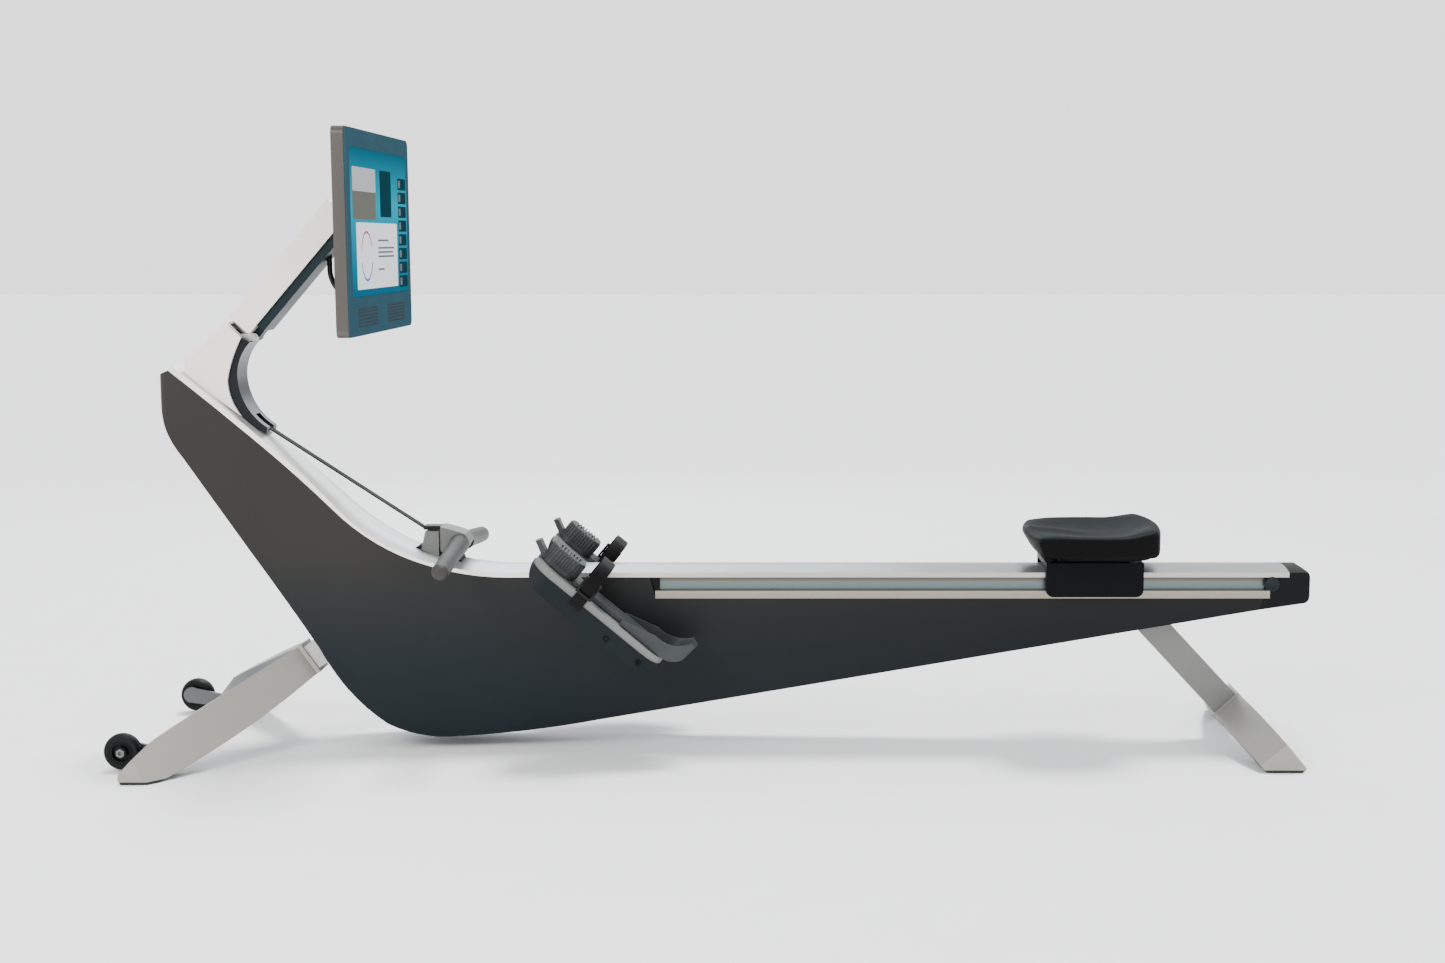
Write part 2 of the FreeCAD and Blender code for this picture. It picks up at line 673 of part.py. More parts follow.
crown_outer = crown_solid("crown_outer", "0", "rail_edge_z")
crown_inner = crown_solid("crown_inner", "skin", "rail_edge_z - 2")
deck_outer = common("deck_outer", crown_outer, hull_plan)
deck_void = common("deck_void", crown_inner, hull_plan_inner)
keep("deck_cover", cut("deck_cover", deck_outer, deck_void, passages))


# ---- rail -------------------------------------------------------------------------------------------------

lip_half = "(cover_half - skin - 1)"
rail_section = [
    ("-cover_half", "flange_low_z"),
    ("cover_half", "flange_low_z"),
    ("cover_half", "flange_top_z"),
    ("groove_half", "flange_top_z"),
    ("groove_half", "rail_edge_z"),
    (lip_half, "rail_edge_z"),
    (lip_half, "rail_edge_z + rail_wall"),
    ("-" + lip_half, "rail_edge_z + rail_wall"),
    ("-" + lip_half, "rail_edge_z"),
    ("-groove_half", "rail_edge_z"),
    ("-groove_half", "flange_top_z"),
    ("-cover_half", "flange_top_z"),
]
rail_hollow = rectangle("-" + JOINER_HALF, JOINER_HALF, "flange_low_z + rail_wall", "rail_edge_z")
rail = prism("rail", "YZ", rail_section, "rail_front_x", "rail_end_x")
keep("rail", pocket(rail, "YZ", rail_hollow, "rail_front_x - 1", "rail_end_x + 1"))

joiner_section = rectangle("-" + JOINER_HALF, JOINER_HALF, "flange_low_z + rail_wall", "rail_edge_z - rail_wall")
joiner_hollow = rectangle("-" + JOINER_HALF + " + 3", JOINER_HALF + " - 3", "flange_low_z + rail_wall + 3",
                          "rail_edge_z - rail_wall - 3")
joiner = prism("joiner_tube", "YZ", joiner_section, "joiner_front_x", "joiner_back_x")
joiner = pocket(joiner, "YZ", joiner_hollow, "joiner_front_x - 1", "joiner_back_x + 1")
saddle = block("joiner_saddle", "joiner_front_x + 10", "rail_front_x - 30", "-plate_gap_half - plate",
               "plate_gap_half + plate", "saddle_low_z", "flange_low_z + rail_wall")
keep("rail_joiner", fuse("rail_joiner", joiner, saddle))

cap_side = prism(
    "cap_side",
    "XZ",
    [
        ("seam_x + 0.3", "flange_low_z"),
        ("rail_end_x", "flange_low_z"),
        ("rail_end_x", "rail_edge_z"),
        ("cover_end_x", "rail_edge_z"),
        ("cover_end_x", "rail_edge_z + crown_rise"),
        ("tail_x - 18", "rail_edge_z + crown_rise"),
        ("tail_x", "rail_edge_z - 2", "tail_x - 5", "rail_edge_z + 11"),
        ("tail_x", "flange_low_z + 3"),
        ("tail_x - 14", "seam_low_z + 12", "tail_x - 4", "seam_low_z + 16"),
        ("seam_x - 5.7", "seam_low_z"),
    ],
    "-cover_half",
    "cover_half",
)
edge_top = "rail_edge_z + crown_rise - (crown_radius - sqrt(crown_radius ^ 2 - cover_half ^ 2))"
cap_crown = prism(
    "cap_crown",
    "YZ",
    [
        ("-cover_half", "belly_z"),
        ("cover_half", "belly_z"),
        ("cover_half", edge_top),
        ("-cover_half", edge_top, "0", "rail_edge_z + crown_rise"),
    ],
    "rail_front_x",
    "tail_x + 1",
)
cap_void = block("cap_void", "rail_end_x + skin", "tail_x - skin", "-cover_half + skin", "cover_half - skin",
                 "seam_low_z + 16", "rail_edge_z - skin")
keep("rail_end_cap", cut("rail_end_cap", common("cap_outer", cap_side, cap_crown), cap_void))


def groove_blocks(name, x_low, x_high):
    """A rubber stop in each side groove of the rail."""
    return [
        block(name + side, x_low, x_high, low, high, "flange_top_z", "rail_edge_z")
        for side, low, high in (
            ("_left", "-cover_half", "-groove_half"),
            ("_right", "groove_half", "cover_half"),
        )
    ]


bumpers = groove_blocks("front_bumper", "rail_front_x", "rail_front_x + 8")
bumpers += groove_blocks("rear_bumper", "rail_end_x - 8", "rail_end_x")
keep("rail_bumpers", group("rail_bumpers", *bumpers))


# ---- frame inside the hull --------------------------------------------------------------------------------

PLATE_SIDE = [
    ("joiner_front_x + 10", "saddle_low_z"),
    ("rail_front_x - 7", "saddle_low_z"),
    ("rail_front_x - 7", "keel_z + 116"),
    ("keel_x - 240", "belly_z + 38"),
    ("flywheel_x - 60", "belly_z + 46"),
    ("throat_x + 80", "throat_z - 57"),
    ("spool_x - 20", "spool_z - 55"),
    ("fold_x - 41", "spool_z + 80"),
    ("fold_x - 21", "spool_z + 130"),
    ("throat_x + 70", "spool_z - 55"),
    ("flywheel_x", "saddle_low_z + 30"),
]
AXLE_SPOTS = [("flywheel_x", "flywheel_z"), ("spool_x", "spool_z")]
SPACER_SPOTS = [
    ("keel_x - 120", "keel_z + 56"),
    ("throat_x + 90", "spool_z - 110"),
    ("spool_x + 10", "spool_z - 66"),
]
plate_holes = [CROSSBAR_SPOT + ("crossbar_radius",), BRACE_SPOT + ("brace_radius",)]
plate_holes += [spot + ("bearing_radius",) for spot in AXLE_SPOTS]
side_plates = [
    prism("frame_plate_" + name, "XZ", PLATE_SIDE, low, high, plate_holes)
    for name, low, high in (
        ("left", "-plate_gap_half - plate", "-plate_gap_half"),
        ("right", "plate_gap_half", "plate_gap_half + plate"),
    )
]
keep("frame_side_plates", group("frame_side_plates", *side_plates))

spacers = [
    prism("spacer_%d" % place, "XZ", spot + ("8",), "-plate_gap_half", "plate_gap_half", [spot + ("4",)])
    for place, spot in enumerate(SPACER_SPOTS)
]
bolts = list(spacers)
for place, spot in enumerate(SPACER_SPOTS):
    shank = prism("bolt_shank_%d" % place, "XZ", spot + ("4",), "-plate_gap_half", "plate_gap_half")
    for side, low, high in (("_near", "-plate_gap_half - plate - 5", "-plate_gap_half - plate"),
                            ("_far", "plate_gap_half + plate", "plate_gap_half + plate + 5")):
        head = prism("bolt_head_%d%s" % (place, side), "XZ", spot + ("7",), low, high)
        bolts.append(head)
    bolts.append(shank)
keep("frame_spacers_and_bolts", group("frame_spacers_and_bolts", *bolts))

reach = "pedal_y - 20"
crossbars = [
    prism(name, "XZ", spot + (radius,), "-(%s)" % reach, reach, [spot + ("%s - 3" % radius,)])
    for name, spot, radius in (
        ("pedal_crossbar", CROSSBAR_SPOT, "crossbar_radius"),
        ("pedal_brace", BRACE_SPOT, "brace_radius"),
    )
]
keep("pedal_crossbars", group("pedal_crossbars", *crossbars))


# ---- drive ------------------------------------------------------------------------------------------------

bearings = []
for place, (x, z) in enumerate(AXLE_SPOTS):
    for side, low, high in (
        ("_left", "-plate_gap_half - plate", "-plate_gap_half"),
        ("_right", "plate_gap_half", "plate_gap_half + plate"),
    ):
        ring = prism("bearing_%d%s" % (place, side), "XZ", (x, z, "bearing_radius"), low, high,
                     [(x, z, "axle_radius + running_gap")])
        bearings.append(ring)
keep("drive_bearings", group("drive_bearings", *bearings))

flywheel = turned(
    "flywheel",
    [
        ("axle_radius + running_gap", "-18"),
        ("axle_radius + 12", "-18"),
        ("axle_radius + 12", "-4"),
        ("flywheel_radius - 34", "-4"),
        ("flywheel_radius - 30", "-flywheel_half"),
        ("flywheel_radius", "-flywheel_half"),
        ("flywheel_radius", "flywheel_half"),
        ("flywheel_radius - 30", "flywheel_half"),
        ("flywheel_radius - 34", "4"),
        ("axle_radius + 12", "4"),
        ("axle_radius + 12", "18"),
        ("axle_radius + running_gap", "18"),
    ],
)
keep("flywheel", put(flywheel, "flywheel_x", "0", "flywheel_z"))

spool = turned(
    "strap_spool",
    [
        ("axle_radius", "-strap_half - 4"),
        ("spool_radius + 8", "-strap_half - 4"),
        ("spool_radius + 8", "-strap_half - 1"),
        ("spool_radius", "-strap_half - 1"),
        ("spool_radius", "strap_half + 1"),
        ("spool_radius + 8", "strap_half + 1"),
        ("spool_radius + 8", "strap_half + 4"),
        ("axle_radius", "strap_half + 4"),
    ],
)
keep("strap_spool", put(spool, "spool_x", "0", "spool_z"))

belt_low = "belt_y - belt_wide / 2"
belt_high = "belt_y + belt_wide / 2"
for name, (x, z), radius in (
    ("flywheel_shaft", AXLE_SPOTS[0], "small_pulley_radius"),
    ("spool_shaft", AXLE_SPOTS[1], "big_pulley_radius"),
):
    axle = prism(name + "_axle", "XZ", (x, z, "axle_radius"), "-plate_gap_half - plate - 3", "belt_y + belt_wide")
    pulley = prism(name + "_pulley", "XZ", (x, z, radius), belt_low, belt_high)
    keep(name, fuse(name, axle, pulley))

# The belt's straight runs touch both pulleys, so its outline follows from their centres and radii.
span_x = "(flywheel_x - spool_x)"
span_z = "(flywheel_z - spool_z)"
span = "sqrt(%s ^ 2 + %s ^ 2)" % (span_x, span_z)


def belt_outline(clearance):
    """The belt's loop at a clearance from the pulleys' rims."""
    big = "(big_pulley_radius + %s)" % clearance
    small = "(small_pulley_radius + %s)" % clearance
    lean = "((%s - %s) / %s)" % (big, small, span)
    level = "sqrt(1 - %s ^ 2)" % lean
    spots = []
    for side in (1, -1):
        across = (
            "(%s * %s / %s + %d * %s * (-%s) / %s)" % (lean, span_x, span, side, level, span_z, span),
            "(%s * %s / %s + %d * %s * %s / %s)" % (lean, span_z, span, side, level, span_x, span),
        )
        spots.append(across)
    big_top = ("spool_x + %s * %s" % (big, spots[0][0]), "spool_z + %s * %s" % (big, spots[0][1]))
    big_low = ("spool_x + %s * %s" % (big, spots[1][0]), "spool_z + %s * %s" % (big, spots[1][1]))
    small_top = ("flywheel_x + %s * %s" % (small, spots[0][0]), "flywheel_z + %s * %s" % (small, spots[0][1]))
    small_low = ("flywheel_x + %s * %s" % (small, spots[1][0]), "flywheel_z + %s * %s" % (small, spots[1][1]))
    far_big = ("spool_x - %s * %s / %s" % (big, span_x, span), "spool_z - %s * %s / %s" % (big, span_z, span))
    far_small = (
        "flywheel_x + %s * %s / %s" % (small, span_x, span),
        "flywheel_z + %s * %s / %s" % (small, span_z, span),
    )
    return [big_top + far_big, small_top, small_low + far_small, big_low]


belt = prism("drive_belt", "XZ", belt_outline("(belt_thick + fit_gap)"), belt_low, belt_high)
keep("drive_belt", pocket(belt, "XZ", belt_outline("fit_gap"), "belt_y - belt_wide", "belt_y + belt_wide"))

spring_low = "-plate_gap_half - plate - 14"
keep(
    "return_spring_case",
    prism("return_spring_case", "XZ", ("spool_x", "spool_z", "38"), spring_low, "-plate_gap_half - plate",
          [("spool_x", "spool_z", "bearing_radius")]),
)

magnet = block("brake_magnet", "flywheel_x + 78", "flywheel_x + 138", "-plate_gap_half", "plate_gap_half",
               "flywheel_z - 78", "flywheel_z - 30")
keep(
    "brake_magnet",
    pocket(magnet, "XZ", ("flywheel_x", "flywheel_z", "flywheel_radius + 4"), "-flywheel_half - 2",
           "flywheel_half + 2"),
)
keep("control_box", block("control_box", "keel_x - 160", "keel_x - 40", "plate_gap_half + plate",
                          "plate_gap_half + plate + 18", "keel_z + 70", "keel_z + 150"))
keep("mains_inlet", block("mains_inlet", "inlet_x", "inlet_x + inlet_long", "plate_gap_half + plate",
                          "beam_half", "inlet_z", "inlet_z + inlet_high"))

keep("fairlead_roller", prism("fairlead_roller", "XZ", ("fairlead_x", "fairlead_z", "fairlead_radius"),
                              "-strap_half - 1", "strap_half + 1", [("fairlead_x", "fairlead_z", "3.3")]))
fairlead_pin = prism("fairlead_pin", "XZ", ("fairlead_x", "fairlead_z", "3"), "-plate_gap_half", "plate_gap_half")


# ---- strap and handle -------------------------------------------------------------------------------------

clip_front = "hub_x - 60"
clip_low = "hub_z + 24"
run_x = "(%s - fairlead_x)" % clip_front
run_z = "(fairlead_z + 6 - (%s))" % clip_low
run = "sqrt(%s ^ 2 + %s ^ 2)" % (run_x, run_z)
inner_wrap = "(fairlead_radius + fit_gap)"
outer_wrap = "(fairlead_radius + fit_gap + strap_thick)"


def wrap_end(radius):
    """Where the strap leaves the fairlead's roller for the handle."""
    return ("fairlead_x + %s * %s / %s" % (radius, run_z, run), "fairlead_z + %s * %s / %s" % (radius, run_x, run))


def wrap_top(radius):
    return ("fairlead_x - %s * 0.5" % radius, "fairlead_z + %s * 0.8660254" % radius)


keep(
    "strap_inner_run",
    prism(
        "strap_inner_run",
        "XZ",
        [
            ("spool_x - spool_radius - fit_gap - strap_thick", "spool_z"),
            ("spool_x - spool_radius - fit_gap", "spool_z"),
            ("fairlead_x - %s" % inner_wrap, "fairlead_z"),
            wrap_end(inner_wrap) + wrap_top(inner_wrap),
            wrap_end(outer_wrap),
            ("fairlead_x - %s" % outer_wrap, "fairlead_z") + wrap_top(outer_wrap),
        ],
        "-strap_half",
        "strap_half",
    ),
)
keep(
    "pull_strap",
    prism(
        "pull_strap",
        "XZ",
        [wrap_end(inner_wrap), (clip_front, clip_low), (clip_front, clip_low + " + strap_thick"),
         wrap_end(outer_wrap)],
        "-strap_half",
        "strap_half",
    ),
)
keep("strap_clip", block("strap_clip", clip_front, "hub_x - 26", "-strap_half - 3", "strap_half + 3",
                         "hub_z + 22.5", "hub_z + 30"))

hub = prism(
    "handle_hub",
    "XZ",
    [
        ("hub_x - 26", "hub_z + 30"),
        ("hub_x - 26", "hub_z - 18"),
        ("hub_x - 4", "hub_z - 23"),
        ("hub_x + 22", "hub_z - 14"),
        ("hub_x + 30", "hub_z"),
        ("hub_x + 22", "hub_z + 16"),
        ("hub_x - 2", "hub_z + 24"),
    ],
    "-27",
    "27",
)
keep("handle_hub", hub)
grips = []
hub_room = block("hub_room", "hub_x - 60", "hub_x + 60", "-27", "27", "hub_z - 60", "hub_z + 60")
for name, side in (("left", "-1"), ("right", "1")):
    grip = turned(
        "grip_" + name,
        [
            ("0", side + " * 12"),
            ("grip_radius + 3", side + " * 12"),
            ("grip_radius", side + " * 90"),
            ("grip_radius - 1", "%s * (grip_half - grip_radius)" % side),
            ("3", "%s * (grip_half - 1)" % side, "(grip_radius - 1) * 0.79", "%s * (grip_half - 6.5)" % side),
            ("0", "%s * (grip_half - 1)" % side),
        ],
    )
    droop = "%s * grip_droop / grip_half * 57.29578" % ("1" if side == "-1" else "-1")
    grip.Placement = Placement(Vector(0, 0, 0), Rotation(Vector(1, 0, 0), number(droop)))
    grip.setExpression("Placement.Base.x", bound("hub_x + 10"))
    grip.setExpression("Placement.Base.z", bound("hub_z - 1"))
    doc.recompute()
    grips.append(cut("handle_grip_" + name, grip, hub_room))
keep("handle_grips", group("handle_grips", *grips))

dock_pad = prism(
    "dock_pad_outline",
    "XZ",
    [
        bend_point("crown_rise - 4", "23.5"),
        bend_point("crown_rise - 4", "11.5") + bend_point("crown_rise - 4", "17"),
        bend_point("crown_rise + 8", "12.5"),
        bend_point("crown_rise + 8", "22") + bend_point("crown_rise + 8", "17"),
    ],
    "-dock_half + 3",
    "dock_half - 3",
)
dock_pad = cut("dock_pad", dock_pad, crown_outer)
keep("dock_pad", dock_pad)
dock = prism(
    "dock_outline",
    "XZ",
    [
        ("dock_x - 19", "hub_z - 14"),
        ("dock_x + 15", "hub_z - 30"),
        ("dock_x + 15", "hub_z + 20"),
        ("dock_x - 11", "hub_z + 21"),
    ],
    "-dock_half",
    "dock_half",
)
keep("handle_dock", cut("handle_dock", dock, dock_pad, crown_outer))


# ---- seat -------------------------------------------------------------------------------------------------

inner_side = "(cover_half + 3)"
carriage = prism(
    "carriage_body",
    "YZ",
    [
        ("-carriage_half", "carriage_low_z"),
        ("-" + inner_side, "carriage_low_z"),
        ("-" + inner_side, "rail_edge_z + crown_rise + 4"),
        (inner_side, "rail_edge_z + crown_rise + 4"),
        (inner_side, "carriage_low_z"),
        ("carriage_half", "carriage_low_z"),
        ("carriage_half", "carriage_top_z"),
        ("-carriage_half", "carriage_top_z"),
    ],
    "carriage_front_x",
    "carriage_back_x",
)
low_edge = number("carriage_low_z") + 0.5
lower_corner = along(Vector(0, 1, 0))
round_edges(carriage, "14", lambda edge: lower_corner(edge) and edge.BoundBox.ZMax < low_edge)

roller_z = "flange_top_z + roller_radius + 0.3"
near, far = "groove_half + 1.5", "cover_half - 0.5"
stubs = []
for end, x in (("front", "carriage_front_x + roller_inset"), ("rear", "carriage_back_x - roller_inset")):
    pair = []
    for name, low, high, root in (
        ("_left", "-(%s)" % far, "-(%s)" % near, ("-" + inner_side, "-(%s)" % near)),
        ("_right", near, far, (near, inner_side)),
    ):
        pair.append(prism("roller_" + end + name, "XZ", (x, roller_z, "roller_radius"), low, high,
                          [(x, roller_z, "4.3")]))
        stubs.append(prism("stub_" + end + name, "XZ", (x, roller_z, "4"), *root))
    keep("seat_rollers_" + end, group("seat_rollers_" + end, *pair))
keep("seat_carriage", fuse("seat_carriage", carriage, *stubs))

bracket = block("seat_bracket", "carriage_front_x + 26", "carriage_back_x - 26", "-carriage_half + 8",
                "carriage_half - 8", "carriage_top_z", "seat_low_z - 5")
pan = prism("seat_pan_plate", "XY",
            rounded("seat_front_x + 56", "seat_back_x - 26", "-seat_half + 28", "seat_half - 28", "40"),
            "seat_low_z - 5", "seat_low_z")
keep("seat_pan", fuse("seat_pan", bracket, pan))
cushion = prism("seat_cushion", "XY", rounded("seat_front_x", "seat_back_x", "-seat_half", "seat_half", "52"),
                "seat_low_z", "seat_top_z")
top_edge = number("seat_top_z") - 0.5
round_edges(cushion, "12", lambda edge: edge.BoundBox.ZMin > top_edge)
keep("seat_cushion", cushion)


# ---- footboards -------------------------------------------------------------------------------------------

# Each footboard is drawn level, with X along its slope from the toe and Z out of its face, then turned.
BOARD_SIDE = [
    ("-8", "0"),
    ("38", "-pedal_deep + 3", "6", "-24"),
    ("130", "-pedal_deep"),
    ("236", "-pedal_deep + 4"),
    ("pedal_long", "0", "pedal_long - 20", "-pedal_deep + 16"),
]
SHELL_PLAN = rounded("-8", "pedal_long", "-pedal_half", "pedal_half", "pedal_round")
VOID_PLAN = rounded("-8 + skin", "pedal_long - skin", "-pedal_half + skin", "pedal_half - skin", "pedal_round - skin")
TOP_PLAN = rounded("-6", "pedal_long - 2", "-pedal_half + 2", "pedal_half - 2", "pedal_round - 2")
SLIDE_Z = "slider_lift + slider_thick"


def board_shell(name, inboard_low, inboard_high):
    """The hollow shell under a footboard, open at the top, with bores for the cross bars on its inboard side."""
    side = prism(name + "_side", "XZ", BOARD_SIDE, "-pedal_half - 1", "pedal_half + 1")
    outer = common(name + "_outer", side, prism(name + "_plan", "XY", SHELL_PLAN, "-pedal_deep - 1", "1"))
    ring = inset(first_sketch(side), name + "_inset", "skin")
    inner = extruded(name + "_inner", ring, Vector(0, 1, 0), "-pedal_half * 3", "pedal_half * 3")
    void = common(name + "_void", inner, prism(name + "_void_plan", "XY", VOID_PLAN, "-pedal_deep", "1"))
    mouth = prism(name + "_mouth", "XY", rounded("30", "pedal_long - 50", "-pedal_half + skin",
                                                 "pedal_half - skin", "10"), "-10", "1")
    bores = fuse(
        name + "_bores",
        prism(name + "_bar_bore", "XZ", ("crossbar_u", "-crossbar_depth", "crossbar_radius"), inboard_low,
              inboard_high),
        prism(name + "_brace_bore", "XZ", ("brace_u", "-crossbar_depth", "brace_radius"), inboard_low, inboard_high),
    )
    return cut(name, outer, void, mouth, bores)


def heel_slider(name):
    """The sliding plate under the foot, with the cup that holds the heel at its rear end."""
    plate = prism(name + "_plate", "XY", rounded("74", "heel_end - 62", "-slider_half + 12", "slider_half - 12", "8"),
                  "slider_lift", SLIDE_Z)
    cup = prism(
        name + "_cup",
        "XZ",
        [
            ("190", "slider_lift"),
            ("heel_end - 40", "slider_lift"),
            ("heel_end - 2", "slider_lift + 18", "heel_end - 19", "slider_lift + 4.8"),
            ("heel_end + 4", "slider_lift + heel_rise + 7"),
            ("heel_end - 8", "slider_lift + heel_rise + 8"),
            ("heel_end - 70", "slider_lift + 26", "heel_end - 34", "slider_lift + 32"),
            ("190", SLIDE_Z),
        ],
        "-slider_half",
        "slider_half",
    )
    hollow = prism(
        name + "_hollow",
        "XY",
        [
            ("150", "-slider_half + 5"),
            ("heel_end - 38", "-slider_half + 5"),
            ("heel_end - 38", "slider_half - 5", "heel_end - 6", "0"),
            ("150", "slider_half - 5"),
        ],
        SLIDE_Z,
        "slider_lift + heel_rise + 20",
    )
    window = block(name + "_window", "heel_end - 30", "heel_end + 10", "-16", "16", "slider_lift + 22",
                   "slider_lift + 36")
    corners = prism(
        name + "_corners",
        "XY",
        [
            ("-60", "-slider_half"),
            ("heel_end - 40", "-slider_half"),
            ("heel_end - 40", "slider_half", "heel_end + 5", "0"),
            ("-60", "slider_half"),
        ],
        "0",
        "slider_lift + heel_rise + 20",
    )
    rounded_cup = common(name + "_round", cup, corners)
    return cut(name, fuse(name + "_body", plate, rounded_cup), hollow, window)


def toe_grip(name):
    """The ribbed grip and the tab at the toe that move the heel slider."""
    tab = prism(
        name + "_tab",
        "XZ",
        [
            ("74", "slider_lift"),
            ("74", SLIDE_Z),
            ("6", SLIDE_Z + " + 2"),
            ("-22", "slider_lift + 24"),
            ("-28", "slider_lift + 16"),
            ("2", "slider_lift"),
        ],
        "-14",
        "14",
    )
    ribs = "slider_lift + 38"
    grip = prism(name + "_block", "XY", rounded("2", "74", "-26", "26", "22"), "slider_lift + 0.01", ribs)
    grooves = [
        block("%s_groove_%d" % (name, place), str(16 + 7 * place), str(19 + 7 * place), "-30", "30",
              "slider_lift + 33", "slider_lift + 40")
        for place in range(7)
    ]
    return cut(name, fuse(name + "_joined", tab, grip), *grooves)


def foot_strap(name):
    """The webbing arch over the foot, held to the footboard's sides."""
    half = "(pedal_half + 2.2)"
    outer = [
        ("-" + half, "-12"),
        ("-" + half + " + 2.2", "-12"),
        ("-" + half + " + 2.2", "foot_strap_rise - 32"),
        ("-pedal_half + 30", "foot_strap_rise - 2.2", "-pedal_half + 9", "foot_strap_rise - 11"),
        ("pedal_half - 30", "foot_strap_rise - 2.2"),
        ("pedal_half", "foot_strap_rise - 32", "pedal_half - 9", "foot_strap_rise - 11"),
        ("pedal_half", "-12"),
        (half, "-12"),
        (half, "foot_strap_rise - 32"),
        ("pedal_half - 30", "foot_strap_rise", "pedal_half - 7.4", "foot_strap_rise - 9.4"),
        ("-pedal_half + 30", "foot_strap_rise"),
        ("-" + half, "foot_strap_rise - 32", "-pedal_half + 7.4", "foot_strap_rise - 9.4"),
    ]
    return prism(name, "YZ", outer, "strap_u - foot_strap_half", "strap_u + foot_strap_half")


def strap_buckle(name, side):
    """The cam buckle on the outboard side, where the strap's free end comes out."""
    layers = []
    for part, half_long, near, far, low, high in (
        ("_frame", "17", "pedal_half + strap_thick", "pedal_half + 8", "66", "34"),
        ("_tail", "foot_strap_half", "pedal_half + 8", "pedal_half + 12", "62", "8"),
    ):
        y_low, y_high = (near, far) if side == "1" else ("-(%s)" % far, "-(%s)" % near)
        layers.append(block(name + part, "strap_u - " + half_long, "strap_u + " + half_long, y_low, y_high,
                            "foot_strap_rise - " + low, "foot_strap_rise - " + high))
    return fuse(name, *layers)


shared = {"pedal_shells": [], "pedal_boards": [], "foot_straps": [], "strap_buckles": []}
for name, side, inboard in (
    ("left", "-1", ("0", "pedal_half + 2")),
    ("right", "1", ("-pedal_half - 2", "0")),
):
    slider = group("heel_slider_" + name, heel_slider("slider_" + name), toe_grip("toe_grip_" + name))
    keep("heel_slider_" + name, slider)
    board = prism("pedal_board_" + name, "XY", TOP_PLAN, "0", "board_thick")
    pieces = {
        "pedal_shells": board_shell("pedal_shell_" + name, *inboard),
        "pedal_boards": board,
        "foot_straps": foot_strap("foot_strap_" + name),
        "strap_buckles": strap_buckle("strap_buckle_" + name, side),
    }
    for piece in [slider] + list(pieces.values()):
        put(piece, "pedal_x", side + " * pedal_y", "pedal_z", Vector(0, 1, 0), "pedal_angle")
    for kind, piece in pieces.items():
        shared[kind].append(piece)
for kind, pair in shared.items():
    keep(kind, group(kind, *pair))


# ---- legs and feet ----------------------------------------------------------------------------------------


def hollow_bar(name, outline, core):
    """A rectangular tube between the frame's side plates."""
    outer = prism(name + "_outer", "XZ", outline, "-plate_gap_half", "plate_gap_half")
    inner = prism(name + "_core", "XZ", core, "-plate_gap_half + 3", "plate_gap_half - 3")
    return cut(name, outer, inner)


front_bar = hollow_bar("front_leg_bar", front_bar_outline("-16", "120", "front_bar_half"),
                       front_bar_outline("-13", "117", "front_bar_half - 3"))
keep("front_leg_bar", front_bar)
rear_bar = hollow_bar("rear_leg_bar", rear_bar_outline("rear_bar_half", "saddle_low_z - 3"),
                      rear_bar_outline("rear_bar_half - 3", "saddle_low_z - 6"))
bracket_plate = block("rear_leg_bracket", "rear_leg_x - 260", "rear_leg_x - 130", "-cover_half + 14",
                      "cover_half - 14", "saddle_low_z - 3", "flange_low_z - skin")
keep("rear_leg_bar", fuse("rear_leg_bar", rear_bar, bracket_plate))


def foot(name, socket, hub_half, stations, bar_gap, *trims):
    """A foot with a socket for its leg and a blade out to each side, cut level over its floor pads."""
    blades = []
    for side in ("-1", "1"):
        sections = [("%s * (%s)" % (side, offset), corners) for offset, corners in stations]
        blades.append(loft(new_body("%s_blade_%s" % (name, side.replace("-", "near_"))), "XZ", sections))
    hub_block = prism(name + "_hub", "XZ", socket, "-(%s)" % hub_half, hub_half)
    whole = fuse(name + "_whole", hub_block, *blades)
    floor = block(name + "_floor", "-tail_x * 2", "tail_x * 2", "-front_foot_half * 2", "front_foot_half * 2",
                  "-500", "pad_thick")
    pad_room = block(name + "_pad_room", "-tail_x", "tail_x", "-front_foot_half - 1", "front_foot_half + 1",
                     "0", "pad_thick")
    trimmed = cut(name + "_trimmed", whole, *trims) if trims else whole
    return cut(name, trimmed, floor, bar_gap), common(name + "_pads", trimmed, pad_room)


front_socket = tilted("front_leg_x", "front_leg_z", "-front_slope", "-30", "6", "-32", "32")
front_stations = [
    ("plate_gap_half + 2", tilted("front_leg_x - 2", "front_leg_z - 1", "-front_slope", "-26", "5", "-31", "31")),
    (
        "front_foot_half * 0.6",
        tilted("front_leg_x - 152", "front_leg_z - 97", "-front_slope + 3.5", "-20", "20", "-39", "39"),
    ),
    (
        "front_foot_half",
        tilted("front_leg_x - 250", "front_leg_z - 152", "-front_slope + 3.5", "-26", "16", "-33", "33"),
    ),
]
front_gap = prism("front_bar_gap", "XZ", front_bar_outline("-16", "60", "front_bar_half"), "-plate_gap_half",
                  "plate_gap_half")
toe_trim = prism(
    "front_toe_trim",
    "XZ",
    [
        ("front_leg_x - 280", "-10"),
        ("front_leg_x - 275", "20"),
        ("front_leg_x - 231", "66"),
        ("front_leg_x - 231", "220"),
        ("front_leg_x - 420", "220"),
        ("front_leg_x - 420", "-10"),
    ],
    "-front_foot_half * 2",
    "front_foot_half * 2",
)
front_foot, front_pads = foot("front_foot", front_socket, "plate_gap_half + 6", front_stations, front_gap, toe_trim)
keep("front_foot", front_foot)

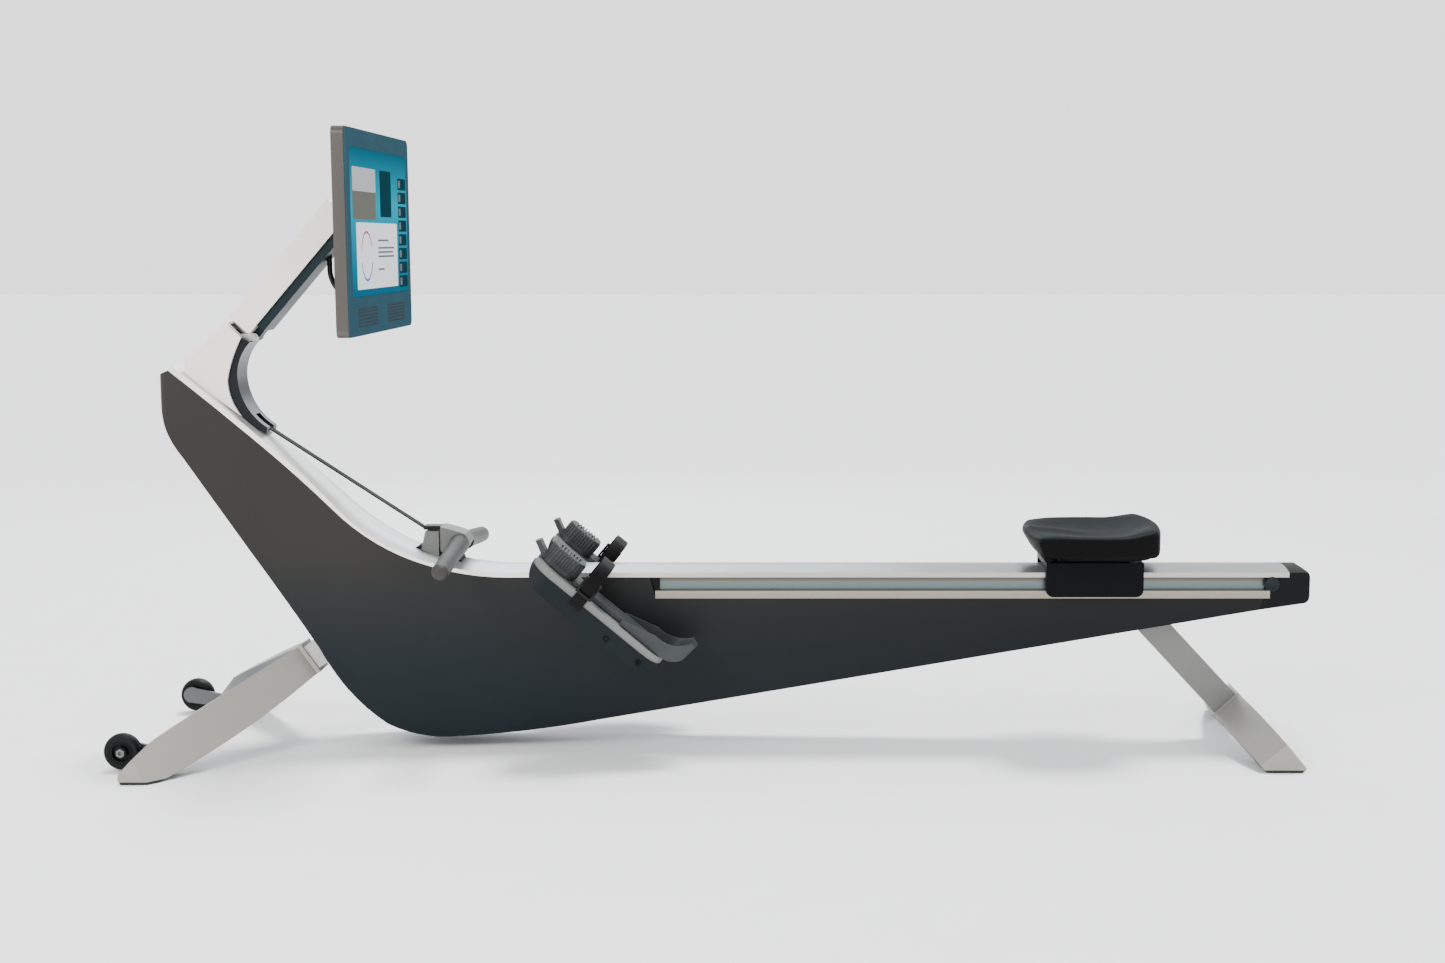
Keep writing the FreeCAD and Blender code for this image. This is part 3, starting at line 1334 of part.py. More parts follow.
rear_socket = tilted("rear_leg_x", "rear_leg_z", "rear_slope", "-4", "26", "-33", "33")
rear_stations = [
    ("plate_gap_half + 2", tilted("rear_leg_x", "rear_leg_z", "rear_slope", "-3", "23", "-32", "32")),
    (
        "rear_foot_half * 0.62",
        tilted("rear_leg_x + 32", "rear_leg_z - 32", "rear_slope + 3", "-18", "24", "-32", "32"),
    ),
    ("rear_foot_half", tilted("rear_leg_x + 52", "rear_leg_z - 54", "rear_slope + 3", "-14", "46", "-31", "31")),
]
rear_gap = prism("rear_bar_gap", "XZ", rear_bar_outline("rear_bar_half", "rear_leg_z + 80"), "-plate_gap_half",
                 "plate_gap_half")
rear_foot, rear_pads = foot("rear_foot", rear_socket, "plate_gap_half + 6", rear_stations, rear_gap)
keep("rear_foot", rear_foot)
keep("floor_pads", group("floor_pads", front_pads, rear_pads))

for name, side in (("left", "-1"), ("right", "1")):
    tyre = turned(
        "wheel_tyre_" + name,
        [
            ("wheel_radius - 12", "-wheel_half + 1"),
            ("wheel_radius - 4", "-wheel_half"),
            ("wheel_radius", "0", "wheel_radius - 0.8", "-wheel_half * 0.6"),
            ("wheel_radius - 4", "wheel_half", "wheel_radius - 0.8", "wheel_half * 0.6"),
            ("wheel_radius - 12", "wheel_half - 1"),
        ],
    )
    rim = turned(
        "wheel_rim_" + name,
        [
            ("5.3", "-wheel_half"),
            ("11", "-wheel_half"),
            ("11", "-5"),
            ("wheel_radius - 15", "-5"),
            ("wheel_radius - 15", "-wheel_half + 2"),
            ("wheel_radius - 12", "-wheel_half + 2"),
            ("wheel_radius - 12", "wheel_half - 2"),
            ("wheel_radius - 15", "wheel_half - 2"),
            ("wheel_radius - 15", "5"),
            ("11", "5"),
            ("11", "wheel_half"),
            ("5.3", "wheel_half"),
        ],
    )
    wheel = group("transport_wheel_" + name, tyre, rim)
    keep("transport_wheel_" + name, put(wheel, "wheel_x", side + " * wheel_y", "wheel_z"))
doc.recompute()

arm_outline = [
    ("wheel_x - 8", "wheel_z - 13"),
    ("wheel_x + 50", "wheel_z - 20"),
    ("wheel_x + 150", "wheel_z - 6"),
    ("wheel_x + 150", "wheel_z + 24"),
    ("wheel_x + 60", "wheel_z + 4"),
    ("wheel_x", "wheel_z + 17"),
]
arm_outline[0] += ("wheel_x - 24", "wheel_z + 5")
arms, pins = [], []
for name, side in (("left", "-1"), ("right", "1")):
    inner, outer = "wheel_y - wheel_half - 8", "wheel_y - wheel_half - 1"
    low, high = (inner, outer) if side == "1" else ("-(%s)" % outer, "-(%s)" % inner)
    arm = prism("wheel_arm_" + name, "XZ", arm_outline, low, high, [("wheel_x", "wheel_z", "5")])
    arms.append(cut("wheel_bracket_" + name, arm, front_foot))
    tip = "wheel_y + wheel_half + 2"
    low, high = (inner, tip) if side == "1" else ("-(%s)" % tip, "-(%s)" % inner)
    pins.append(prism("wheel_axle_" + name, "XZ", ("wheel_x", "wheel_z", "5"), low, high))
keep("wheel_brackets", group("wheel_brackets", *arms, *pins))


# ---- mast and arm -----------------------------------------------------------------------------------------

# The mast cover's hollow rear edge, from the deck up to the fold, as corners that arcs lead to.
REAR_EDGE = [
    ("fold_x - 49", "fold_z - 81", "fold_x - 34", "fold_z - 135"),
    ("fold_x - 20", "fold_z + 0", "fold_x - 39", "fold_z - 43"),
]
MAST_FOOT = ("fold_x + 21", "fold_z - 183")
MAST_SIDE = [
    prow_point("crown_rise - 6", "prow_angle + 0.35"),
    MAST_FOOT,
    *REAR_EDGE,
    ("fold_x - 49", "fold_z + 30"),
    ("fold_x - 129", "fold_z - 47"),
]
post = prism("mast_post", "XZ", POST_SIDE, "-plate_gap_half", "plate_gap_half")
mast_side = prism("mast_side", "XZ", MAST_SIDE, "-mast_half", "mast_half")
mast_ring = inset(first_sketch(mast_side), "mast_ring", "skin")
mast_long_void = extruded("mast_long_void", mast_ring, Vector(0, 1, 0), "-mast_half * 2", "mast_half * 2")
mast_room = block("mast_room", "-tail_x", "0", "-mast_half + skin", "mast_half - skin", "0", "fold_z + 100")
mast_void = common("mast_void", mast_long_void, mast_room)
strap_exit = block("strap_exit", "fairlead_x - 20", "fairlead_x + 50", "-strap_half - 2", "strap_half + 2",
                   "fairlead_z - 60", "fairlead_z + 26")
fold_mouth = block("fold_mouth", "fold_x - 50", "fold_x + 20", "-21", "21", "fold_z - 8", "fold_z + 60")
keep("mast_cover", cut("mast_cover", mast_side, mast_void, crown_outer, strap_exit, fold_mouth, post))

mast_trim = prism(
    "mast_trim_outline",
    "XZ",
    [
        MAST_FOOT,
        *REAR_EDGE,
        ("fold_x - 5", "fold_z - 9"),
        ("fold_x - 31", "fold_z - 79", "fold_x - 26", "fold_z - 43"),
        ("fold_x + 22", "fold_z - 171", "fold_x - 16", "fold_z - 130"),
    ],
    "-mast_half + 6",
    "mast_half - 6",
)
keep("mast_trim", cut("mast_trim", mast_trim, crown_outer, strap_exit, fold_mouth, post))
post_core = prism("post_core", "XZ", [("fold_x - 85", "fold_z - 60"), ("fold_x - 66", "fold_z - 60"),
                                      ("fold_x - 40", "fold_z - 170"), ("fold_x - 40", "fold_z - 220"),
                                      ("fold_x - 70", "fold_z - 190")], "-plate_gap_half + 4", "plate_gap_half - 4")
keep("mast_post", cut("mast_post", post, post_core, strap_exit,
                      block("strap_well", "fairlead_x - 12", "spool_x", "-strap_half - 3",
                            "strap_half + 3", "spool_z", "fairlead_z"),
                      prism("pin_room", "XZ", ("fairlead_x", "fairlead_z", "3"), "-mast_half", "mast_half")))

fold_ear = [
    ("fold_x", "fold_z - 7.5"),
    ("fold_x", "fold_z + 7.5", "fold_x + 7.5", "fold_z"),
    ("fold_x - 30", "fold_z + 6"),
    ("fold_x - 28", "fold_z - 5"),
]
ears = [
    cut("fold_ear_" + name, prism("fold_ear_side_" + name, "XZ", fold_ear, low, high,
                                  [("fold_x", "fold_z", "4")]), post)
    for name, low, high in (("left", "-20", "-14"), ("right", "14", "20"))
]
fold_pin = prism("fold_pin", "XZ", ("fold_x", "fold_z", "4"), "-22", "22")
keep("fold_bracket_and_pins", group("fold_bracket_and_pins", *ears, fold_pin, fairlead_pin))


def arm_outline_at(low, high, deep_low, deep_high):
    return tilted("fold_x", "fold_z", "-arm_angle", low, high, deep_low, deep_high)


arm_solid = prism("arm_solid", "XZ", arm_outline_at("3", "arm_long + 4", "8", "8 + arm_deep"), "-mast_half",
                  "mast_half")
arm_core = prism("arm_core", "XZ", arm_outline_at("3 + skin", "arm_long + 1", "8 + skin", "8 + arm_deep - skin"),
                 "-mast_half + skin", "mast_half - skin")
keep("display_arm", cut("display_arm", arm_solid, arm_core))
under_cover = prism("under_cover", "XZ", arm_outline_at("24", "arm_long - 36", "-9", "8"), "-mast_half + 5",
                    "mast_half - 5")
knuckle_round = prism("knuckle_round", "XZ", ("fold_x", "fold_z", "7.5"), "-13.5", "13.5")
knuckle_web = prism("knuckle_web", "XZ", arm_outline_at("0", "24", "-6", "8"), "-13.5", "13.5")
knuckle_bore = prism("knuckle_bore", "XZ", ("fold_x", "fold_z", "4.3"), "-20", "20")
lead_hole = prism("lead_hole", "XY", ("lead_x", "0", "lead_radius + fit_gap"), "lead_low_z", "tilt_z")
keep("arm_under_cover", cut("arm_under_cover", fuse("cover_and_knuckle", under_cover, knuckle_round, knuckle_web),
                            knuckle_bore, lead_hole))

tilt_ear = arm_outline_at("arm_long + 4", "arm_long + 24", "10", "30")
tilt_ears = [
    prism("tilt_ear_" + name, "XZ", tilt_ear, low, high, [("tilt_x", "tilt_z", "4")])
    for name, low, high in (("left", "-24", "-18"), ("right", "18", "24"))
]
tilt_pin = prism("tilt_pin", "XZ", ("tilt_x", "tilt_z", "4"), "-26", "26")
keep("tilt_bracket", group("tilt_bracket", *tilt_ears, tilt_pin))


# ---- display ----------------------------------------------------------------------------------------------

display_back_x = "(display_face_x - display_thick)"
glass_back_x = "(display_face_x - 3)"


def display_plan(margin):
    """The display's outline across the machine, less a margin."""
    return rounded("-display_half + (%s)" % margin, "display_half - (%s)" % margin,
                   "display_low_z + (%s)" % margin, "display_top_z - (%s)" % margin, "display_round")


housing = prism("display_housing", "YZ", display_plan("0"), display_back_x, glass_back_x)
keep("display_housing", pocket(housing, "YZ", display_plan("skin"), display_back_x + " + skin",
                               glass_back_x + " + 1"))
keep("display_glass", prism("display_glass", "YZ", display_plan("1"), glass_back_x, "display_face_x"))
keep("display_panel", block("display_panel", glass_back_x + " - 7", glass_back_x, "-display_half + 24",
                            "display_half - 24", "display_low_z + 80", "display_top_z - 12"))
board = block("display_board", display_back_x + " + skin", display_back_x + " + skin + 5", "-110", "110",
              "display_low_z + 100", "display_low_z + 240")
speakers = [
    prism("speaker_" + name, "YZ", (y, "display_low_z + 30", "20"), glass_back_x + " - 12", glass_back_x)
    for name, y in (("left", "-display_half * 0.42"), ("right", "display_half * 0.42"))
]
keep("display_electronics", group("display_electronics", board, *speakers))
tilt_block = prism(
    "tilt_block",
    "XZ",
    [
        (display_back_x, "tilt_z - 30"),
        (display_back_x, "tilt_z + 30"),
        (display_back_x + " - 8", "tilt_z + 30"),
        ("tilt_x", "tilt_z + 9"),
        ("tilt_x", "tilt_z - 9", "tilt_x - 9", "tilt_z"),
        (display_back_x + " - 8", "tilt_z - 30"),
    ],
    "-17",
    "17",
    [("tilt_x", "tilt_z", "4.3")],
)
keep("tilt_block", tilt_block)

# The lead drops out of the arm and bends once to the display's back.
lead = new_body("display_lead")
lead_path = new_sketch(lead, "lead_path", "XZ", "0")
lead_bow = "lead_bend * (1 - sqrt(0.5))"
draw_outline(
    lead_path,
    [
        ("lead_x", "lead_top_z"),
        ("lead_x", "lead_low_z + lead_bend"),
        ("lead_x + lead_bend", "lead_low_z", "lead_x + " + lead_bow, "lead_low_z + " + lead_bow),
        (display_back_x, "lead_low_z"),
    ],
    closed=False,
)
lead_section = new_sketch(lead, "lead_section", "XY", "lead_top_z")
draw_circle(lead_section, "lead_x", "0", "lead_radius")
lead_sweep = lead.newObject("PartDesign::AdditivePipe", "lead_sweep")
lead_sweep.Profile = lead_section
lead_sweep.Spine = (lead_path, ["Edge1", "Edge2", "Edge3"])
doc.recompute()
keep("display_lead", lead)


# ---- checks and files -------------------------------------------------------------------------------------

doc.recompute()
for item in doc.Objects:
    if "Invalid" in item.State or "Error" in item.State:
        raise RuntimeError("%s failed: %s" % (item.Name, item.State))
os.makedirs("parts", exist_ok=True)
for label, item in nodes.items():
    if item.Shape.isNull() or not item.Shape.isValid() or not item.Shape.Solids:
        raise RuntimeError("%s has no valid solid" % label)
    item.Shape.exportStep("parts/%s.step" % label)
    print("%-22s %d solids, %.1f cm3" % (label, len(item.Shape.Solids), item.Shape.Volume / 1000))
print("%d nodes" % len(nodes))
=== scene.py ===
import bpy
import math
from mathutils import Matrix, Vector


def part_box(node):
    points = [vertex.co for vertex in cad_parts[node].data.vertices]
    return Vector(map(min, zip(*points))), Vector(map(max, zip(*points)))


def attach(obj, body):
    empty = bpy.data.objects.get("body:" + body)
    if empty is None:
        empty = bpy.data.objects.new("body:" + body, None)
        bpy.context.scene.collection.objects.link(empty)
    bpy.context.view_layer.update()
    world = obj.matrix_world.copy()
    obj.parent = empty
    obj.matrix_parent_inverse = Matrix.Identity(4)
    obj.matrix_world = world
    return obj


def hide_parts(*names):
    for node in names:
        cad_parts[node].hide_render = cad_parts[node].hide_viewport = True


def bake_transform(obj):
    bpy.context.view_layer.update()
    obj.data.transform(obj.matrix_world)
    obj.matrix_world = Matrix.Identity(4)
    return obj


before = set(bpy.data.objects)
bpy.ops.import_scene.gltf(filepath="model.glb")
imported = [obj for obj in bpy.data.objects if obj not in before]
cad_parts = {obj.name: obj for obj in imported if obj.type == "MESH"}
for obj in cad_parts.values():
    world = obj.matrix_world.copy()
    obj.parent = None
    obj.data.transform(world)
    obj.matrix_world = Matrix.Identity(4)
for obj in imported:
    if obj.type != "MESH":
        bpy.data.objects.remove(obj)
bpy.ops.object.select_all(action="DESELECT")
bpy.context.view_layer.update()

# Camera, floor and soft studio light
studio = {
    "cameraPlace": (0.1543, -3.5953, 0.9742),
    "cameraTilt": 82.67,
    "lens": 46.74,
    "shift": -0.0536,
    "floorSize": 60.0,
    "floorColour": (0.93, 0.93, 0.935, 1),
    "skyColour": (0.96, 0.98, 1.0, 1),
    "skyStrength": 1.25,
    "paperColour": (1.0, 1.0, 1.0, 1),
    "paperStrength": 1.95,
    "sunTurn": (-14, 10, 0),
    "sunWidth": 16,
    "sunPower": 4.0,
}
bpy.ops.object.camera_add(location=studio["cameraPlace"], rotation=(math.radians(studio["cameraTilt"]), 0, 0))
camera = bpy.context.object
camera.name = "studioCamera"
camera.data.sensor_width = 36
camera.data.lens = studio["lens"]
camera.data.shift_x = studio["shift"]
camera.data.clip_end = 200
bpy.context.scene.camera = camera

bpy.ops.mesh.primitive_plane_add(size=studio["floorSize"])
floor = bpy.context.object
floor.name = "studioFloor"

lamps = [
    # name, place, aim, size, power, colour
    ("frontSoftbox", (-2.2, -2.6, 2.4), (-0.8, 0, 0.8), 1.3, 70, (1, 0.98, 0.95)),
    ("sternSoftbox", (3.2, -1.4, 1.9), (0.4, 0, 0.4), 1.4, 15, (0.93, 0.97, 1)),
    ("backRim", (-0.6, 3.2, 2.2), (-0.2, 0, 0.6), 2.2, 40, (0.86, 0.94, 1)),
]
for lampName, place, aim, size, power, colour in lamps:
    bpy.ops.object.light_add(type="AREA", location=place)
    lamp = bpy.context.object
    lamp.name = lampName
    lamp.rotation_euler = (Vector(aim) - Vector(place)).to_track_quat("-Z", "Y").to_euler()
    lamp.data.size = size
    lamp.data.energy = power
    lamp.data.color = colour

bpy.ops.object.light_add(type="SUN", rotation=[math.radians(angle) for angle in studio["sunTurn"]])
overhead = bpy.context.object
overhead.name = "overheadLight"
overhead.data.energy = studio["sunPower"]
overhead.data.angle = math.radians(studio["sunWidth"])

sky = bpy.data.worlds.new("studioSky")
sky.use_nodes = True
sky.node_tree.nodes["Background"].inputs["Color"].default_value = studio["skyColour"]
sky.node_tree.nodes["Background"].inputs["Strength"].default_value = studio["skyStrength"]
behind = sky.node_tree.nodes.new("ShaderNodeBackground")  # a paler sheet of paper behind the floor
behind.inputs["Color"].default_value = studio["paperColour"]
behind.inputs["Strength"].default_value = studio["paperStrength"]
seen = sky.node_tree.nodes.new("ShaderNodeLightPath")
either = sky.node_tree.nodes.new("ShaderNodeMixShader")
sky.node_tree.links.new(seen.outputs["Is Camera Ray"], either.inputs["Fac"])
sky.node_tree.links.new(sky.node_tree.nodes["Background"].outputs["Background"], either.inputs[1])
sky.node_tree.links.new(behind.outputs["Background"], either.inputs[2])
sky.node_tree.links.new(either.outputs["Shader"], sky.node_tree.nodes["World Output"].inputs["Surface"])
bpy.context.scene.world = sky
print("camera, floor and lights are set")


# Finishes. Each is a moulded, cast or woven surface with its own mottling, grain and gloss. Several also
# carry painted light: painted shade along the machine (sweep) and painted highlights, reflections and shade
# by height or facing (fade).
def startFinish(name, gloss, metal=0.0, coat=0.0, shine=0.5):
    material = bpy.data.materials.new(name)
    material.use_nodes = True
    nodes = material.node_tree.nodes
    shader = nodes["Principled BSDF"]
    shader.inputs["Roughness"].default_value = gloss
    shader.inputs["Metallic"].default_value = metal
    shader.inputs["Coat Weight"].default_value = coat
    shader.inputs["Specular IOR Level"].default_value = shine
    return material, nodes, material.node_tree.links, shader


def surfaceFinish(name, look):
    material, nodes, links, shader = startFinish(
        name, look["rough"], look.get("metal", 0), look.get("coat", 0), look.get("shine", 0.5))
    place = nodes.new("ShaderNodeTexCoord")
    turn = nodes.new("ShaderNodeMapping")
    turn.inputs["Scale"].default_value = look.get("stretch", (1, 1, 1))
    turn.inputs["Rotation"].default_value = look.get("turn", (0, 0, 0))
    links.new(place.outputs["Object"], turn.inputs["Vector"])
    cloud = nodes.new("ShaderNodeTexNoise")
    cloud.inputs["Scale"].default_value = look.get("cloudScale", 9)
    cloud.inputs["Detail"].default_value = 4
    links.new(turn.outputs["Vector"], cloud.inputs["Vector"])
    spread = nodes.new("ShaderNodeMapRange")
    amount = look.get("cloud", 0.05)
    spread.inputs["From Min"].default_value = 0.3
    spread.inputs["From Max"].default_value = 0.7
    spread.inputs["To Min"].default_value = 1 - amount
    spread.inputs["To Max"].default_value = 1 + amount
    links.new(cloud.outputs["Fac"], spread.inputs["Value"])
    tint = nodes.new("ShaderNodeHueSaturation")
    links.new(spread.outputs["Result"], tint.inputs["Value"])
    # painted shade: sweep darkens the colour along the machine toward the rear, multiplied into the random
    # mottling
    if "sweep" in look:  # a slow change of tone along the machine
        where = nodes.new("ShaderNodeSeparateXYZ")
        links.new(place.outputs["Object"], where.inputs["Vector"])
        paintedShadeGain = nodes.new("ShaderNodeMapRange")
        paintedShadeGain.interpolation_type = "SMOOTHSTEP"
        paintedShadeGain.inputs["From Min"].default_value, paintedShadeGain.inputs["From Max"].default_value = look["sweep"]["span"]
        paintedShadeGain.inputs["To Min"].default_value, paintedShadeGain.inputs["To Max"].default_value = look["sweep"]["paintedShadeGain"]
        links.new(where.outputs[look["sweep"].get("axis", "X")], paintedShadeGain.inputs["Value"])
        mottleTimesShade = nodes.new("ShaderNodeMath")
        mottleTimesShade.operation = "MULTIPLY"
        links.new(spread.outputs["Result"], mottleTimesShade.inputs[0])
        links.new(paintedShadeGain.outputs["Result"], mottleTimesShade.inputs[1])
        links.new(mottleTimesShade.outputs["Value"], tint.inputs["Value"])
    links.new(tint.outputs["Color"], shader.inputs["Base Color"])
    # fade is a colour ramp by height or by facing; in the finishes below it carries painted light: painted
    # highlights, painted reflections and painted shade
    if "fade" in look:
        split = nodes.new("ShaderNodeSeparateXYZ")
        source = place.outputs["Normal"] if look["fade"].get("byNormal") else place.outputs["Object"]
        links.new(source, split.inputs["Vector"])
        level = nodes.new("ShaderNodeMapRange")
        level.inputs["From Min"].default_value, level.inputs["From Max"].default_value = look["fade"]["span"]
        links.new(split.outputs[look["fade"]["axis"]], level.inputs["Value"])
        ramp = nodes.new("ShaderNodeValToRGB")
        stops = look["fade"]["stops"]
        while len(ramp.color_ramp.elements) < len(stops):
            ramp.color_ramp.elements.new(0.5)
        for element, (spot, colour) in zip(ramp.color_ramp.elements, stops):
            element.position = spot
            element.color = (*colour, 1)
        links.new(level.outputs["Result"], ramp.inputs["Fac"])
        links.new(ramp.outputs["Color"], tint.inputs["Color"])
    else:
        tint.inputs["Color"].default_value = (*look["colour"], 1)
    wear = nodes.new("ShaderNodeMapRange")
    wear.inputs["From Min"].default_value = 0.3
    wear.inputs["From Max"].default_value = 0.7
    wear.inputs["To Min"].default_value = look["rough"] - look.get("roughSpread", 0.05)
    wear.inputs["To Max"].default_value = look["rough"] + look.get("roughSpread", 0.05)
    links.new(cloud.outputs["Fac"], wear.inputs["Value"])
    links.new(wear.outputs["Result"], shader.inputs["Roughness"])
    grain = nodes.new("ShaderNodeTexNoise")
    grain.inputs["Scale"].default_value = look.get("grainScale", 900)
    grain.inputs["Detail"].default_value = 2
    links.new(turn.outputs["Vector"], grain.inputs["Vector"])
    bump = nodes.new("ShaderNodeBump")
    bump.inputs["Strength"].default_value = look.get("grain", 0.15)
    bump.inputs["Distance"].default_value = 0.0006
    links.new(grain.outputs["Fac"], bump.inputs["Height"])
    links.new(bump.outputs["Normal"], shader.inputs["Normal"])
    return material


def wovenFinish(name, look):
    material, nodes, links, shader = startFinish(name, look["rough"])
    shader.inputs["Sheen Weight"].default_value = 0.04
    shader.inputs["Specular IOR Level"].default_value = 0.12
    place = nodes.new("ShaderNodeTexCoord")
    turn = nodes.new("ShaderNodeMapping")
    turn.inputs["Rotation"].default_value = look["turn"]
    links.new(place.outputs["Object"], turn.inputs["Vector"])
    threads = []
    for direction, count in (("X", look["along"]), ("Y", look["across"])):
        wave = nodes.new("ShaderNodeTexWave")
        wave.bands_direction = direction
        wave.inputs["Scale"].default_value = count
        wave.inputs["Distortion"].default_value = 0.4
        links.new(turn.outputs["Vector"], wave.inputs["Vector"])
        threads.append(wave)
    weave = nodes.new("ShaderNodeMath")
    weave.operation = "MULTIPLY"
    for socket, wave in enumerate(threads):
        links.new(wave.outputs["Fac"], weave.inputs[socket])
    # colour ramp over the weave: the real thread pattern, with painted shade in the low valleys between
    # threads
    ramp = nodes.new("ShaderNodeValToRGB")
    ramp.color_ramp.elements[0].color = (*look["valleyShade"], 1)
    ramp.color_ramp.elements[1].color = (*look["colour"], 1)
    links.new(weave.outputs["Value"], ramp.inputs["Fac"])
    links.new(ramp.outputs["Color"], shader.inputs["Base Color"])
    bump = nodes.new("ShaderNodeBump")
    bump.inputs["Strength"].default_value = 0.5
    bump.inputs["Distance"].default_value = 0.0006
    links.new(weave.outputs["Value"], bump.inputs["Height"])
    links.new(bump.outputs["Normal"], shader.inputs["Normal"])
    return material


